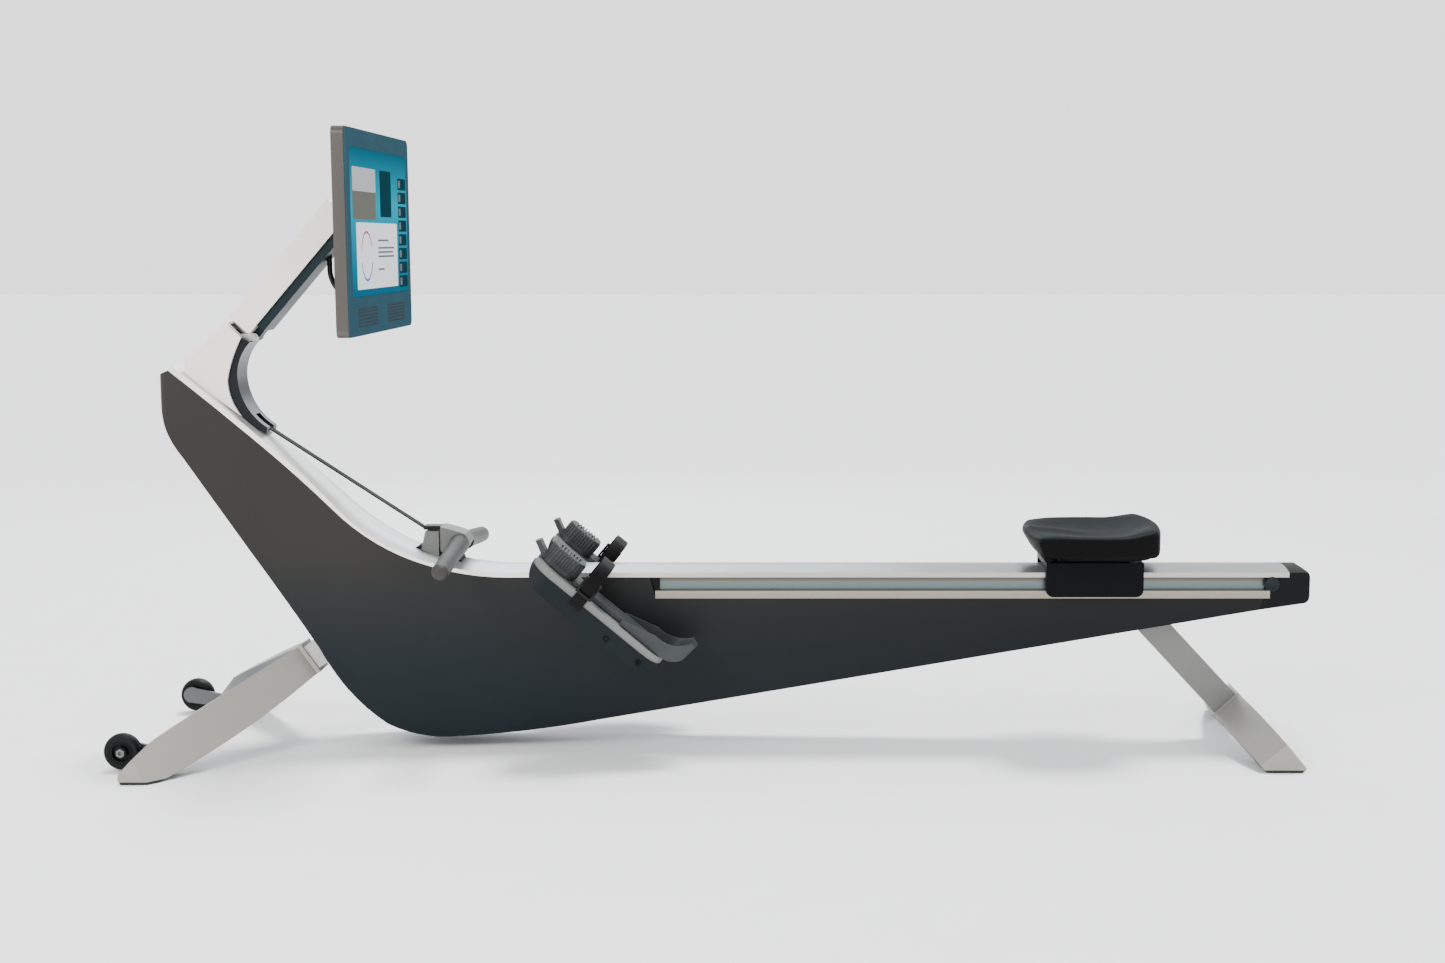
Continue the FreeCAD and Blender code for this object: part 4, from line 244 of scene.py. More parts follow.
finishes = {
    # hullPaint carries painted shade: darker toward the rear (sweep) and darker and bluer toward the bottom
    # (fade by height)
    "hullPaint": {"rough": 0.45, "shine": 0.14, "cloud": 0.06, "cloudScale": 5, "grain": 0.1,
                  "grainScale": 1400,
                  "sweep": {"span": (-0.7, 1.0), "paintedShadeGain": (1.0, 0.42)},
                  "fade": {"axis": "Z", "span": (0.02, 0.72), "stops": [
                      (0.0, (0.004, 0.009, 0.012)), (0.25, (0.0085, 0.0125, 0.0148)),
                      (0.5, (0.0215, 0.0205, 0.0195)),
                      (1.0, (0.026, 0.0235, 0.0212))]}},
    # deckSatin carries painted light: darker toward the rail (sweep), a warm painted highlight on the side
    # faces and a cooler, darker painted reflection on top (fade by facing)
    "deckSatin": {"rough": 0.33, "metal": 0.6, "cloud": 0.04, "cloudScale": 4, "grain": 0.08,
                  "grainScale": 1500,
                  "sweep": {"span": (-0.5, 0.1), "paintedShadeGain": (1.0, 0.5)},
                  "fade": {"axis": "Z", "span": (0.0, 1.0), "byNormal": True, "stops": [
                      (0.0, (0.95, 0.9, 0.82)), (0.5, (0.92, 0.87, 0.8)), (0.86, (0.72, 0.73, 0.72)),
                      (1.0, (0.62, 0.66, 0.66))]}},
    # railAnodised carries painted light in bands by height across the rail: a warm painted highlight low, a
    # cool painted reflection in the middle and painted shade at the top
    "railAnodised": {"rough": 0.3, "metal": 0.8, "cloud": 0.03, "stretch": (0.15, 1, 1), "grain": 0.12,
                     "grainScale": 1600, "fade": {"axis": "Z", "span": (0.293, 0.334), "stops": [
                         (0.0, (0.25, 0.22, 0.18)), (0.34, (0.29, 0.25, 0.21)), (0.4, (0.11, 0.145, 0.145)),
                         (0.75, (0.13, 0.16, 0.16)), (0.85, (0.11, 0.095, 0.075)),
                         (1.0, (0.09, 0.08, 0.07))]}},
    "endCapBlack": {"rough": 0.42, "shine": 0.1, "cloud": 0.1, "grain": 0.2, "grainScale": 1300,
                    "colour": (0.0038, 0.004, 0.0044)},
    "bumperRubber": {"rough": 0.7, "shine": 0.2, "cloud": 0.1, "grain": 0.3, "colour": (0.004, 0.004, 0.004)},
    "framePaint": {"rough": 0.5, "cloud": 0.06, "grain": 0.3, "grainScale": 700,
                   "colour": (0.012, 0.012, 0.013)},
    "brightSteel": {"rough": 0.3, "metal": 1, "cloud": 0.05, "stretch": (1, 8, 1), "grain": 0.2,
                    "colour": (0.42, 0.42, 0.41)},
    "castIron": {"rough": 0.4, "metal": 0.9, "cloud": 0.1, "grain": 0.35, "grainScale": 500,
                 "colour": (0.08, 0.08, 0.085)},
    "drivePlastic": {"rough": 0.45, "cloud": 0.08, "grain": 0.2, "colour": (0.012, 0.0125, 0.014)},
    "handleHubSatin": {"rough": 0.42, "shine": 0.35, "cloud": 0.05, "grain": 0.15, "grainScale": 1100,
                       "colour": (0.115, 0.119, 0.112)},
    "gripRubber": {"rough": 0.5, "shine": 0.22, "cloud": 0.08, "cloudScale": 30, "grain": 0.3,
                   "grainScale": 900,
                   "colour": (0.036, 0.036, 0.034)},
    "dockSatin": {"rough": 0.36, "metal": 0.3, "cloud": 0.05, "grain": 0.15, "colour": (0.115, 0.117, 0.108)},
    "carriagePaint": {"rough": 0.45, "shine": 0.06, "cloud": 0.06, "grain": 0.15,
                      "colour": (0.0026, 0.0032, 0.0038)},
    # seatSkin carries a painted reflection: a bluish sky tint on faces that look up
    "seatSkin": {"rough": 0.55, "shine": 0.06, "cloud": 0.08, "cloudScale": 14, "grain": 0.3,
                 "grainScale": 420,
                 "fade": {"axis": "Z", "span": (0.0, 1.0), "byNormal": True, "stops": [
                     (0.0, (0.0024, 0.0023, 0.0022)), (0.35, (0.0026, 0.0027, 0.0027)),
                     (0.75, (0.002, 0.0045, 0.0052)),
                     (1.0, (0.0019, 0.004, 0.0046))]}},
    # pedalShell carries painted light and shade: lighter on faces that look up, darker and bluer on faces
    # that look down
    "pedalShell": {"rough": 0.48, "shine": 0.12, "cloud": 0.08, "grain": 0.25, "grainScale": 800,
                   "fade": {"axis": "Z", "span": (-1.0, 0.6), "byNormal": True, "stops": [
                       (0.0, (0.0024, 0.0048, 0.0063)), (0.5, (0.0036, 0.0072, 0.0087)),
                       (1.0, (0.014, 0.017, 0.018))]}},
    "pedalRim": {"rough": 0.45, "shine": 0.35, "cloud": 0.06, "grain": 0.2, "grainScale": 900,
                 "colour": (0.15, 0.16, 0.15)},
    "heelPlastic": {"rough": 0.46, "shine": 0.3, "cloud": 0.1, "cloudScale": 60, "grain": 0.3,
                    "grainScale": 800,
                    "colour": (0.03, 0.035, 0.036)},
    "buckleBlack": {"rough": 0.4, "shine": 0.2, "cloud": 0.1, "grain": 0.15,
                    "colour": (0.0042, 0.0042, 0.0045)},
    # legPaint carries painted shade: the rear leg darker than the front (sweep)
    "legPaint": {"rough": 0.4, "metal": 0.35, "cloud": 0.05, "grain": 0.15, "colour": (0.48, 0.48, 0.455),
                 "sweep": {"span": (-0.6, 0.8), "paintedShadeGain": (1.0, 0.32)}},
    # footSatin carries painted shade: dark and bluish on faces that look down, lighter on the sides and top
    "footSatin": {"rough": 0.4, "metal": 0.4, "cloud": 0.07, "cloudScale": 7, "grain": 0.35,
                  "grainScale": 700,
                  "fade": {"axis": "Z", "span": (-1.0, 1.0), "byNormal": True, "stops": [
                      (0.0, (0.014, 0.035, 0.045)), (0.38, (0.15, 0.165, 0.165)), (0.5, (0.3, 0.285, 0.25)),
                      (0.8, (0.33, 0.315, 0.28)), (1.0, (0.3, 0.31, 0.3))]}},
    "solePad": {"rough": 0.7, "cloud": 0.1, "grain": 0.3, "colour": (0.004, 0.010, 0.013)},
    "bracketPaint": {"rough": 0.42, "metal": 0.2, "cloud": 0.05, "grain": 0.2, "colour": (0.085, 0.09, 0.09)},
    "wheelTyre": {"rough": 0.5, "shine": 0.16, "cloud": 0.1, "grain": 0.2, "colour": (0.004, 0.0045, 0.005)},
    # mastSatin carries painted shade: dark on faces that look down, white on the sides and top
    "mastSatin": {"rough": 0.34, "metal": 0.3, "cloud": 0.03, "cloudScale": 5, "grain": 0.1,
                  "fade": {"axis": "Z", "span": (-1.0, 1.0), "byNormal": True, "stops": [
                      (0.0, (0.1, 0.14, 0.15)), (0.45, (0.9, 0.85, 0.77)), (0.55, (0.94, 0.9, 0.82)),
                      (1.0, (0.9, 0.87, 0.8))]}},
    "trimGloss": {"rough": 0.3, "shine": 0.2, "cloud": 0.1, "grain": 0.05, "colour": (0.003, 0.006, 0.008)},
    "undersideDark": {"rough": 0.45, "shine": 0.16, "cloud": 0.1, "grain": 0.15,
                      "colour": (0.005, 0.014, 0.018)},
    "displayBand": {"rough": 0.38, "metal": 0.6, "cloud": 0.05, "stretch": (1, 1, 0.1), "grain": 0.25,
                    "grainScale": 1200, "colour": (0.078, 0.07, 0.062)},
    "displayFront": {"rough": 0.35, "shine": 0.0, "cloud": 0.05, "grain": 0.02,
                     "colour": (0.024, 0.058, 0.077)},
    "leadBlack": {"rough": 0.4, "shine": 0.2, "cloud": 0.08, "grain": 0.2, "colour": (0.004, 0.004, 0.0045)},
    "seamDark": {"rough": 0.6, "shine": 0.1, "cloud": 0.1, "grain": 0.2, "colour": (0.0025, 0.003, 0.0035)},
    "hubSteel": {"rough": 0.34, "metal": 0.8, "cloud": 0.06, "cloudScale": 80, "grain": 0.15,
                 "grainScale": 1500,
                 "colour": (0.16, 0.16, 0.155)},
    "boltZinc": {"rough": 0.32, "metal": 0.9, "cloud": 0.06, "cloudScale": 90, "grain": 0.1,
                 "colour": (0.2, 0.2, 0.2)},
}
paints = {name: surfaceFinish(name, look) for name, look in finishes.items()}
# webbing weave: real thread pattern; the darker valleys between threads are painted shade
webbing = {"rough": 0.7, "turn": (0, 0, 0), "along": 90, "across": 60, "valleyShade": (0.0008, 0.0008, 0.0008),
           "colour": (0.0054, 0.0052, 0.005)}
paints["pullWebbing"] = wovenFinish("pullWebbing", webbing)
paints["footWebbing"] = wovenFinish("footWebbing", {**webbing, "turn": (0, math.radians(-40), 0)})

floorLook = surfaceFinish("floorMatt", {"rough": 0.85, "cloud": 0.01, "grain": 0.02,
                                        "colour": studio["floorColour"][:3]})
floor.data.materials.append(floorLook)

wornBy = {
    "hullPaint": ["hull_shell_left", "hull_shell_right"],
    "deckSatin": ["deck_cover"],
    "railAnodised": ["rail"],
    "endCapBlack": ["rail_end_cap"],
    "bumperRubber": ["rail_bumpers", "dock_pad", "drive_belt"],
    "framePaint": ["rail_joiner", "frame_side_plates", "mast_post"],
    "brightSteel": ["frame_spacers_and_bolts", "pedal_crossbars", "drive_bearings", "flywheel_shaft",
                    "fold_bracket_and_pins", "tilt_bracket"],
    "castIron": ["flywheel"],
    "drivePlastic": ["strap_spool", "spool_shaft", "return_spring_case", "brake_magnet", "control_box",
                     "mains_inlet",
                     "fairlead_roller", "seat_rollers_front", "seat_rollers_rear", "display_electronics",
                     "tilt_block", "display_panel"],
    "handleHubSatin": ["handle_hub"],
    "gripRubber": ["handle_grips"],
    "dockSatin": ["handle_dock"],
    "carriagePaint": ["seat_carriage", "seat_pan"],
    "pedalShell": ["pedal_shells"],
    "pedalRim": ["pedal_boards"],
    "heelPlastic": ["heel_slider_left", "heel_slider_right"],
    "buckleBlack": ["strap_buckles", "strap_clip"],
    "legPaint": ["front_leg_bar", "rear_leg_bar"],
    "footSatin": ["front_foot", "rear_foot"],
    "solePad": ["floor_pads"],
    "bracketPaint": ["wheel_brackets"],
    "wheelTyre": ["transport_wheel_left", "transport_wheel_right"],
    "mastSatin": ["mast_cover", "display_arm"],
    "trimGloss": ["mast_trim"],
    "undersideDark": ["arm_under_cover"],
    "displayBand": ["display_housing"],
    "displayFront": ["display_glass"],
    "leadBlack": ["display_lead"],
    "pullWebbing": ["strap_inner_run", "pull_strap"],
    "footWebbing": ["foot_straps"],
}
for paintName, nodeNames in wornBy.items():
    for nodeName in nodeNames:
        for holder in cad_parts[nodeName].material_slots:
            holder.material = paints[paintName]
print("finishes are on", sum(len(names) for names in wornBy.values()), "nodes")


# Tools for the pieces modelled here
def startPiece(name):
    piece = bpy.context.object
    piece.name = name
    bpy.ops.object.transform_apply(location=True, rotation=True, scale=True)
    return piece


def boxPiece(name, low, high):
    middle = [(a + b) / 2 for a, b in zip(low, high)]
    bpy.ops.mesh.primitive_cube_add(size=1, location=middle)
    bpy.context.object.scale = [b - a for a, b in zip(low, high)]
    return startPiece(name)


def applyModifier(piece, kind, **settings):
    modifier = piece.modifiers.new(kind.lower(), kind)
    for setting, value in settings.items():
        setattr(modifier, setting, value)
    bpy.context.view_layer.objects.active = piece
    bpy.ops.object.modifier_apply(modifier=modifier.name)


def softenEdges(piece, width, segments=3, angle=40):
    applyModifier(piece, "BEVEL", width=width, segments=segments, limit_method="ANGLE",
                  angle_limit=math.radians(angle), harden_normals=False)


def settle(piece, paintName, body, smooth=True):
    bpy.ops.object.select_all(action="DESELECT")
    piece.select_set(True)
    bpy.context.view_layer.objects.active = piece
    if smooth:
        bpy.ops.object.shade_smooth_by_angle(angle=math.radians(40))
    bpy.ops.object.select_all(action="DESELECT")
    piece.data.materials.clear()
    piece.data.materials.append(paints[paintName])
    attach(piece, body)
    return piece


def ease(value, low, high):
    part = min(max((value - low) / (high - low), 0), 1)
    return part * part * (3 - 2 * part)


# Seat: a dished saddle with two thigh hollows, upright rounded walls and a raised rear lip
saddle = {
    "cuts": 21,
    "cornerPull": 0.26,
    "dip": 0.012,
    "ridge": 0.005,
    "rearLip": 0.011,
    "noseDrop": 0.003,
    "topRound": 0.011,
    "lowRound": 0.009,
    "frontSlant": 0.016,
}
seatLow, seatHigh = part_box("seat_cushion")
seatMiddle, seatHalf = (seatLow + seatHigh) / 2, (seatHigh - seatLow) / 2
seatTall = seatHigh.z - seatLow.z
bpy.ops.mesh.primitive_cube_add(size=2)
seatPad = startPiece("seatPad")
bpy.ops.object.mode_set(mode="EDIT")
bpy.ops.mesh.select_all(action="SELECT")
bpy.ops.mesh.subdivide(number_cuts=saddle["cuts"])
bpy.ops.object.mode_set(mode="OBJECT")
for vertex in seatPad.data.vertices:
    x, y, z = vertex.co
    u = x * math.sqrt(1 - saddle["cornerPull"] * y * y)
    v = y * math.sqrt(1 - saddle["cornerPull"] * x * x)
    reach = min(math.hypot(u, v), 1)
    middle = math.exp(-(v / 0.22) ** 2)
    top = seatHigh.z - saddle["dip"] * (1 - reach ** 2.6) * (1 - 0.4 * middle * ease(-u, -0.2, 0.6))
    top += saddle["ridge"] * middle * ease(-u, 0.0, 0.9)
    top += saddle["rearLip"] * ease(u, 0.35, 1.0) - saddle["noseDrop"] * ease(-u, 0.5, 1.0)
    share = (z + 1) / 2
    aboveRound = max((share - 1) * seatTall / saddle["topRound"] + 1, 0)
    belowRound = max(1 - share * seatTall / saddle["lowRound"], 0)
    inward = saddle["topRound"] * (1 - math.sqrt(1 - min(aboveRound, 1) ** 2))
    inward += saddle["lowRound"] * (1 - math.sqrt(1 - min(belowRound, 1) ** 2))
    slant = saddle["frontSlant"] * (1 - ease(share, 0.0, 0.8)) * ease(-u, 0.3, 0.9) * (1 - 0.6 * v * v)
    vertex.co = (seatMiddle.x + u * (seatHalf.x - inward - slant), seatMiddle.y + v * (seatHalf.y - inward),
                 seatLow.z + (top - seatLow.z) * share)
applyModifier(seatPad, "SUBSURF", levels=2, render_levels=2)
settle(seatPad, "seatSkin", "seat")
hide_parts("seat_cushion")
print("seat pad is shaped")


# Display: lit screen with plain cards, two speaker grilles and a camera dot on its front
def litFinish(name, colour, strength, fade=None):
    material, nodes, links, shader = startFinish(name, 0.35, shine=0.0)
    shader.inputs["Base Color"].default_value = (*[c * 0.1 for c in colour], 1)
    shader.inputs["Emission Strength"].default_value = strength
    shader.inputs["Emission Color"].default_value = (*colour, 1)
    place = nodes.new("ShaderNodeTexCoord")
    if fade:
        split = nodes.new("ShaderNodeSeparateXYZ")
        links.new(place.outputs["Object"], split.inputs["Vector"])
        level = nodes.new("ShaderNodeMapRange")
        level.inputs["From Min"].default_value, level.inputs["From Max"].default_value = fade["span"]
        links.new(split.outputs["Z"], level.inputs["Value"])
        ramp = nodes.new("ShaderNodeValToRGB")
        while len(ramp.color_ramp.elements) < len(fade["stops"]):
            ramp.color_ramp.elements.new(0.5)
        for element, (spot, stopColour) in zip(ramp.color_ramp.elements, fade["stops"]):
            element.position = spot
            element.color = (*stopColour, 1)
        links.new(level.outputs["Result"], ramp.inputs["Fac"])
        links.new(ramp.outputs["Color"], shader.inputs["Emission Color"])
    return material


screen = {
    "halfWide": 0.237,
    "low": 0.873,
    "high": 1.139,
    "lift": 0.0004,
    "glow": 0.8,
    "cards": [
        # name, left, right, low, high, paint
        ("cardScene", -0.223, -0.04, 1.012, 1.105, "cardScene"),
        ("cardSceneSky", -0.223, -0.04, 1.062, 1.105, "cardSky"),
        ("cardSmall", 0.0, 0.094, 1.018, 1.105, "cardDark"),
        ("cardWhite", -0.2, 0.14, 0.885, 1.006, "cardWhite"),
    ],
    "column": {"left": 0.158, "right": 0.229, "low": 0.882, "high": 1.1, "count": 8, "gap": 0.005},
    "lines": [
        (-0.03, 0.06, 0.972), (-0.03, 0.11, 0.958), (-0.03, 0.1, 0.95), (-0.03, 0.108, 0.942),
        (-0.03, 0.02, 0.918),
    ],
}
paints["screenGlow"] = litFinish("screenGlow", (0.02, 0.3, 0.38), screen["glow"], {
    "span": (screen["low"], screen["high"]),
    "stops": [(0.0, (0.006, 0.12, 0.24)), (0.3, (0.008, 0.28, 0.46)), (0.62, (0.005, 0.5, 0.72)),
              (1.0, (0.006, 0.11, 0.19))]})
paints["cardScene"] = litFinish("cardScene", (0.2, 0.2, 0.18), screen["glow"])
paints["cardSky"] = litFinish("cardSky", (0.62, 0.66, 0.68), screen["glow"])
paints["cardDark"] = litFinish("cardDark", (0.012, 0.06, 0.08), screen["glow"])
paints["cardWhite"] = litFinish("cardWhite", (0.85, 0.9, 0.95), screen["glow"] * 1.5)
paints["lineGray"] = litFinish("lineGray", (0.2, 0.24, 0.28), screen["glow"])
paints["arcPink"] = litFinish("arcPink", (0.75, 0.1, 0.35), screen["glow"])
paints["arcBlue"] = litFinish("arcBlue", (0.12, 0.25, 0.8), screen["glow"])
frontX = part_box("display_glass")[1].x


def screenPlate(name, left, right, low, high, layer, corner, paintName):
    face = frontX + screen["lift"] * layer
    plate = boxPiece(name, (face - screen["lift"], left, low), (face, right, high))
    bpy.ops.object.mode_set(mode="EDIT")
    bpy.ops.mesh.select_all(action="DESELECT")
    bpy.ops.mesh.select_mode(type="EDGE")
    bpy.ops.object.mode_set(mode="OBJECT")
    for edge in plate.data.edges:
        start, end = (plate.data.vertices[i].co for i in edge.vertices)
        edge.select = abs(start.x - end.x) > screen["lift"] / 2
    bpy.ops.object.mode_set(mode="EDIT")
    bpy.ops.mesh.bevel(offset=corner, segments=4)
    bpy.ops.object.mode_set(mode="OBJECT")
    return settle(plate, paintName, "display", smooth=False)


screenPlate("screenGlow", -screen["halfWide"], screen["halfWide"], screen["low"], screen["high"], 1, 0.003,
            "screenGlow")
for layer, (name, left, right, low, high, paintName) in enumerate(screen["cards"]):
    screenPlate(name, left, right, low, high, 3 if name == "cardSceneSky" else 2, 0.004, paintName)
column = screen["column"]
step = (column["high"] - column["low"]) / column["count"]
for place in range(column["count"]):
    low = column["low"] + step * place
    screenPlate("columnTile%d" % place, column["left"], column["right"], low, low + step - column["gap"], 2,
                0.003, "cardDark")
    screenPlate("columnDot%d" % place, column["left"] + 0.004, column["left"] + 0.02, low + 0.004,
                low + step - 0.009, 3,
                0.003, "lineGray")
for place, (left, right, height) in enumerate(screen["lines"]):
    screenPlate("cardLine%d" % place, left, right, height, height + 0.0035, 3, 0.001, "lineGray")
for name, paintName, first, last in (("arcPink", "arcPink", 20, 170), ("arcBlue", "arcBlue", 190, 350)):
    bpy.ops.mesh.primitive_torus_add(
        major_radius=0.044, minor_radius=0.0022, major_segments=48, minor_segments=6,
        location=(frontX + screen["lift"] * 2, -0.122, 0.945), rotation=(0, math.radians(90), 0))
    arc = startPiece(name)
    bpy.ops.object.mode_set(mode="EDIT")
    bpy.ops.mesh.select_all(action="DESELECT")
    bpy.ops.mesh.select_mode(type="VERT")
    bpy.ops.object.mode_set(mode="OBJECT")
    for vertex in arc.data.vertices:
        turn = math.degrees(math.atan2(vertex.co.z - 0.945, vertex.co.y + 0.122)) % 360
        vertex.select = not first < turn < last
        vertex.co.x = frontX + screen["lift"] * 2 + (vertex.co.x - frontX - screen["lift"] * 2) * 0.25
    bpy.ops.object.mode_set(mode="EDIT")
    bpy.ops.mesh.delete(type="VERT")
    bpy.ops.mesh.select_all(action="SELECT")
    bpy.ops.mesh.fill_holes(sides=8)
    bpy.ops.mesh.normals_make_consistent(inside=False)
    bpy.ops.object.mode_set(mode="OBJECT")
    settle(arc, paintName, "display")

# dark discs in place of the speaker grille holes: painted shade of the open holes
grille = {"rows": 6, "columns": 26, "pitch": 0.0062, "hole": 0.0019, "low": 0.819, "starts": (-0.198, 0.043)}
paints["grilleHoleShade"] = surfaceFinish("grilleHoleShade", {"rough": 0.7, "shine": 0.2,
                                                    "colour": (0.002, 0.003, 0.004)})
for side, start in zip(("Left", "Right"), grille["starts"]):
    bpy.ops.mesh.primitive_cylinder_add(
        vertices=8, radius=grille["hole"], depth=0.0008, location=(frontX, start, grille["low"]),
        rotation=(0, math.radians(90), 0))
    holes = startPiece("speakerHoles" + side)
    softenEdges(holes, 0.0002, 1)
    applyModifier(holes, "ARRAY", count=grille["columns"], use_relative_offset=False,
                  use_constant_offset=True,
                  constant_offset_displace=(0, grille["pitch"], 0))
    applyModifier(holes, "ARRAY", count=grille["rows"], use_relative_offset=False, use_constant_offset=True,
                  constant_offset_displace=(0, 0, grille["pitch"]))
    settle(holes, "grilleHoleShade", "display", smooth=False)
bpy.ops.mesh.primitive_cylinder_add(vertices=32, radius=0.004, depth=0.001, location=(frontX, 0, 1.156),
                                    rotation=(0, math.radians(90), 0))
lens = startPiece("cameraLens")
softenEdges(lens, 0.0004, 2)
settle(lens, "seamDark", "display")
print("display front is dressed")


# Small parts that repeat: each is modelled once at the origin and copied into place
def scatter(piece, name, turns):
    twins = []
    for turn in turns:
        twin = piece.copy()
        twin.data = piece.data.copy()
        twin.data.transform(turn)
        bpy.context.scene.collection.objects.link(twin)
        twins.append(twin)
    bpy.data.objects.remove(piece)
    bpy.ops.object.select_all(action="DESELECT")
    for twin in twins:
        twin.select_set(True)
    bpy.context.view_layer.objects.active = twins[0]
    if len(twins) > 1:
        bpy.ops.object.join()
    joined = bpy.context.view_layer.objects.active
    joined.name = name
    return joined


def facing(place, direction):
    return Matrix.Translation(place) @ Vector(direction).to_track_quat("Z", "Y").to_matrix().to_4x4()


def pickFaces(piece, wanted):
    bpy.ops.object.mode_set(mode="EDIT")
    bpy.ops.mesh.select_mode(type="FACE")
    bpy.ops.mesh.select_all(action="DESELECT")
    bpy.ops.object.mode_set(mode="OBJECT")
    for polygon in piece.data.polygons:
        polygon.select = wanted(polygon)
    bpy.ops.object.mode_set(mode="EDIT")


def boltHead(name, radius, height, sides=24, socket=0.45):
    bpy.ops.mesh.primitive_cylinder_add(vertices=sides, radius=radius, depth=height,
                                        location=(0, 0, height / 2))
    bolt = startPiece(name)
    pickFaces(bolt, lambda polygon: polygon.normal.z > 0.9)
    bpy.ops.mesh.inset(thickness=radius * (1 - socket))
    bpy.ops.mesh.inset(thickness=radius * 0.04, depth=-height * 0.6)
    bpy.ops.object.mode_set(mode="OBJECT")
    softenEdges(bolt, min(radius, height) * 0.16, 2)
    return bolt


def ringPiece(name, radius, thickness, place, direction, flatten=1.0):
    bpy.ops.mesh.primitive_torus_add(major_radius=radius, minor_radius=thickness, major_segments=48,
                                     minor_segments=10)
    ring = startPiece(name)
    ring.data.transform(facing(place, direction) @ Matrix.Scale(flatten, 4, (0, 0, 1)))
    return ring


# Footboards: ribs round the toe grips, bolts, woven straps and three-bar buckles
board = {
    "angle": 40,
    "toe": (-0.337, 0.377),
    "side": 0.130,
    "half": 0.054,
    "strapAlong": 0.104,
    "strapHalf": 0.013,
    "strapThick": 0.0022,
    "strapRise": 0.084,
    "ribRadius": 0.0021,
    "ribLong": 0.027,
    "ribPitch": 0.0068,
    "bolts": [(0.188, -0.019), (0.262, -0.016)],
    "tailOut": 0.0036,
    "buckleOut": 0.0046,
    "stitchOut": 0.0014,
}
slope = math.radians(board["angle"])
paints["webbingStitch"] = surfaceFinish("webbingStitch", {
    "rough": 0.7, "shine": 0.1, "cloud": 0.2, "cloudScale": 400, "grain": 0.5, "colour": (0.02, 0.02, 0.019)})


def onBoard(side, along, across, out):
    return Vector((board["toe"][0] + along * math.cos(slope) + out * math.sin(slope),
                   side * board["side"] + across,
                   board["toe"][1] - along * math.sin(slope) + out * math.cos(slope)))


def boardTurn(side, along, across, out):
    return Matrix.Translation(onBoard(side, along, across, out)) @ Matrix.Rotation(slope, 4, "Y")


def ribPlaces():
    left, right, half, corner = 0.002, 0.074, 0.026, 0.022
    spots = []
    straight = right - left - 2 * corner
    for across in (-half, half):
        count = int(straight / board["ribPitch"]) + 1
        spots += [(left + corner + straight * place / count, across) for place in range(count + 1)]
    for middle, first in ((left + corner, 90), (right - corner, -90)):
        for place in range(1, 10):
            turn = math.radians(first + 18 * place)
            spots.append((middle + corner * math.cos(turn),
                          (half - corner) * (1 if math.sin(turn) > 0 else -1)
                          + corner * math.sin(turn)))
    return spots


for side, word in ((-1, "left"), (1, "right")):
    bpy.ops.mesh.primitive_cylinder_add(vertices=10, radius=board["ribRadius"], depth=board["ribLong"])
    rib = startPiece("rib")
    softenEdges(rib, 0.0009, 2)
    ribs = scatter(rib, "toeRibs_" + word, [boardTurn(side, along, across, 0.037) for along,
                                            across in ribPlaces()])
    settle(ribs, "heelPlastic", "heel_slide_" + word)

boardBolts = []
for side in (-1, 1):
    for along, out in board["bolts"]:
        place = onBoard(side, along, side * (board["half"] - 0.0012), out)
        boardBolts.append(facing(place, (0, side, 0)))
settle(scatter(boltHead("boltHead", 0.006, 0.0022), "pedalBolts", boardBolts), "seamDark", "machine")


def strapPath():
    half, rise, bend = board["half"] + 0.0011, board["strapRise"] - 0.0011, 0.031
    path = [(-half, -0.012), (-half, 0.018), (-half, 0.046), (-half, rise - bend)]
    for place in range(1, 7):
        turn = math.radians(15 * place)
        path.append((-half + bend * (1 - math.cos(turn)), rise - bend + bend * math.sin(turn)))
    return path + [(0, rise + 0.002)] + [(-across, out) for across, out in reversed(path)]


def webStrip(name, path, halfWide, thick):
    bpy.ops.mesh.primitive_plane_add(size=1)
    strip = startPiece(name)
    first = path[0]
    for vertex, (end, sign) in zip(strip.data.vertices, ((0, -1), (0, 1), (1, -1), (1, 1))):
        across, out = path[end]
        vertex.co = (sign * halfWide, across, out)
    bpy.ops.object.mode_set(mode="EDIT")
    bpy.ops.mesh.select_mode(type="EDGE")
    bpy.ops.mesh.select_all(action="DESELECT")
    bpy.ops.object.mode_set(mode="OBJECT")
    for edge in strip.data.edges:
        edge.select = all(2 <= corner for corner in edge.vertices)
    bpy.ops.object.mode_set(mode="EDIT")
    for (lastAcross, lastOut), (across, out) in zip(path[1:], path[2:]):
        bpy.ops.mesh.extrude_region_move(TRANSFORM_OT_translate={"value": (0, across - lastAcross,
                                                                           out - lastOut)})
    bpy.ops.mesh.select_all(action="SELECT")
    bpy.ops.mesh.normals_make_consistent(inside=False)
    bpy.ops.object.mode_set(mode="OBJECT")
    applyModifier(strip, "SOLIDIFY", thickness=thick, offset=0)
    softenEdges(strip, thick * 0.35, 2, angle=50)
    return strip


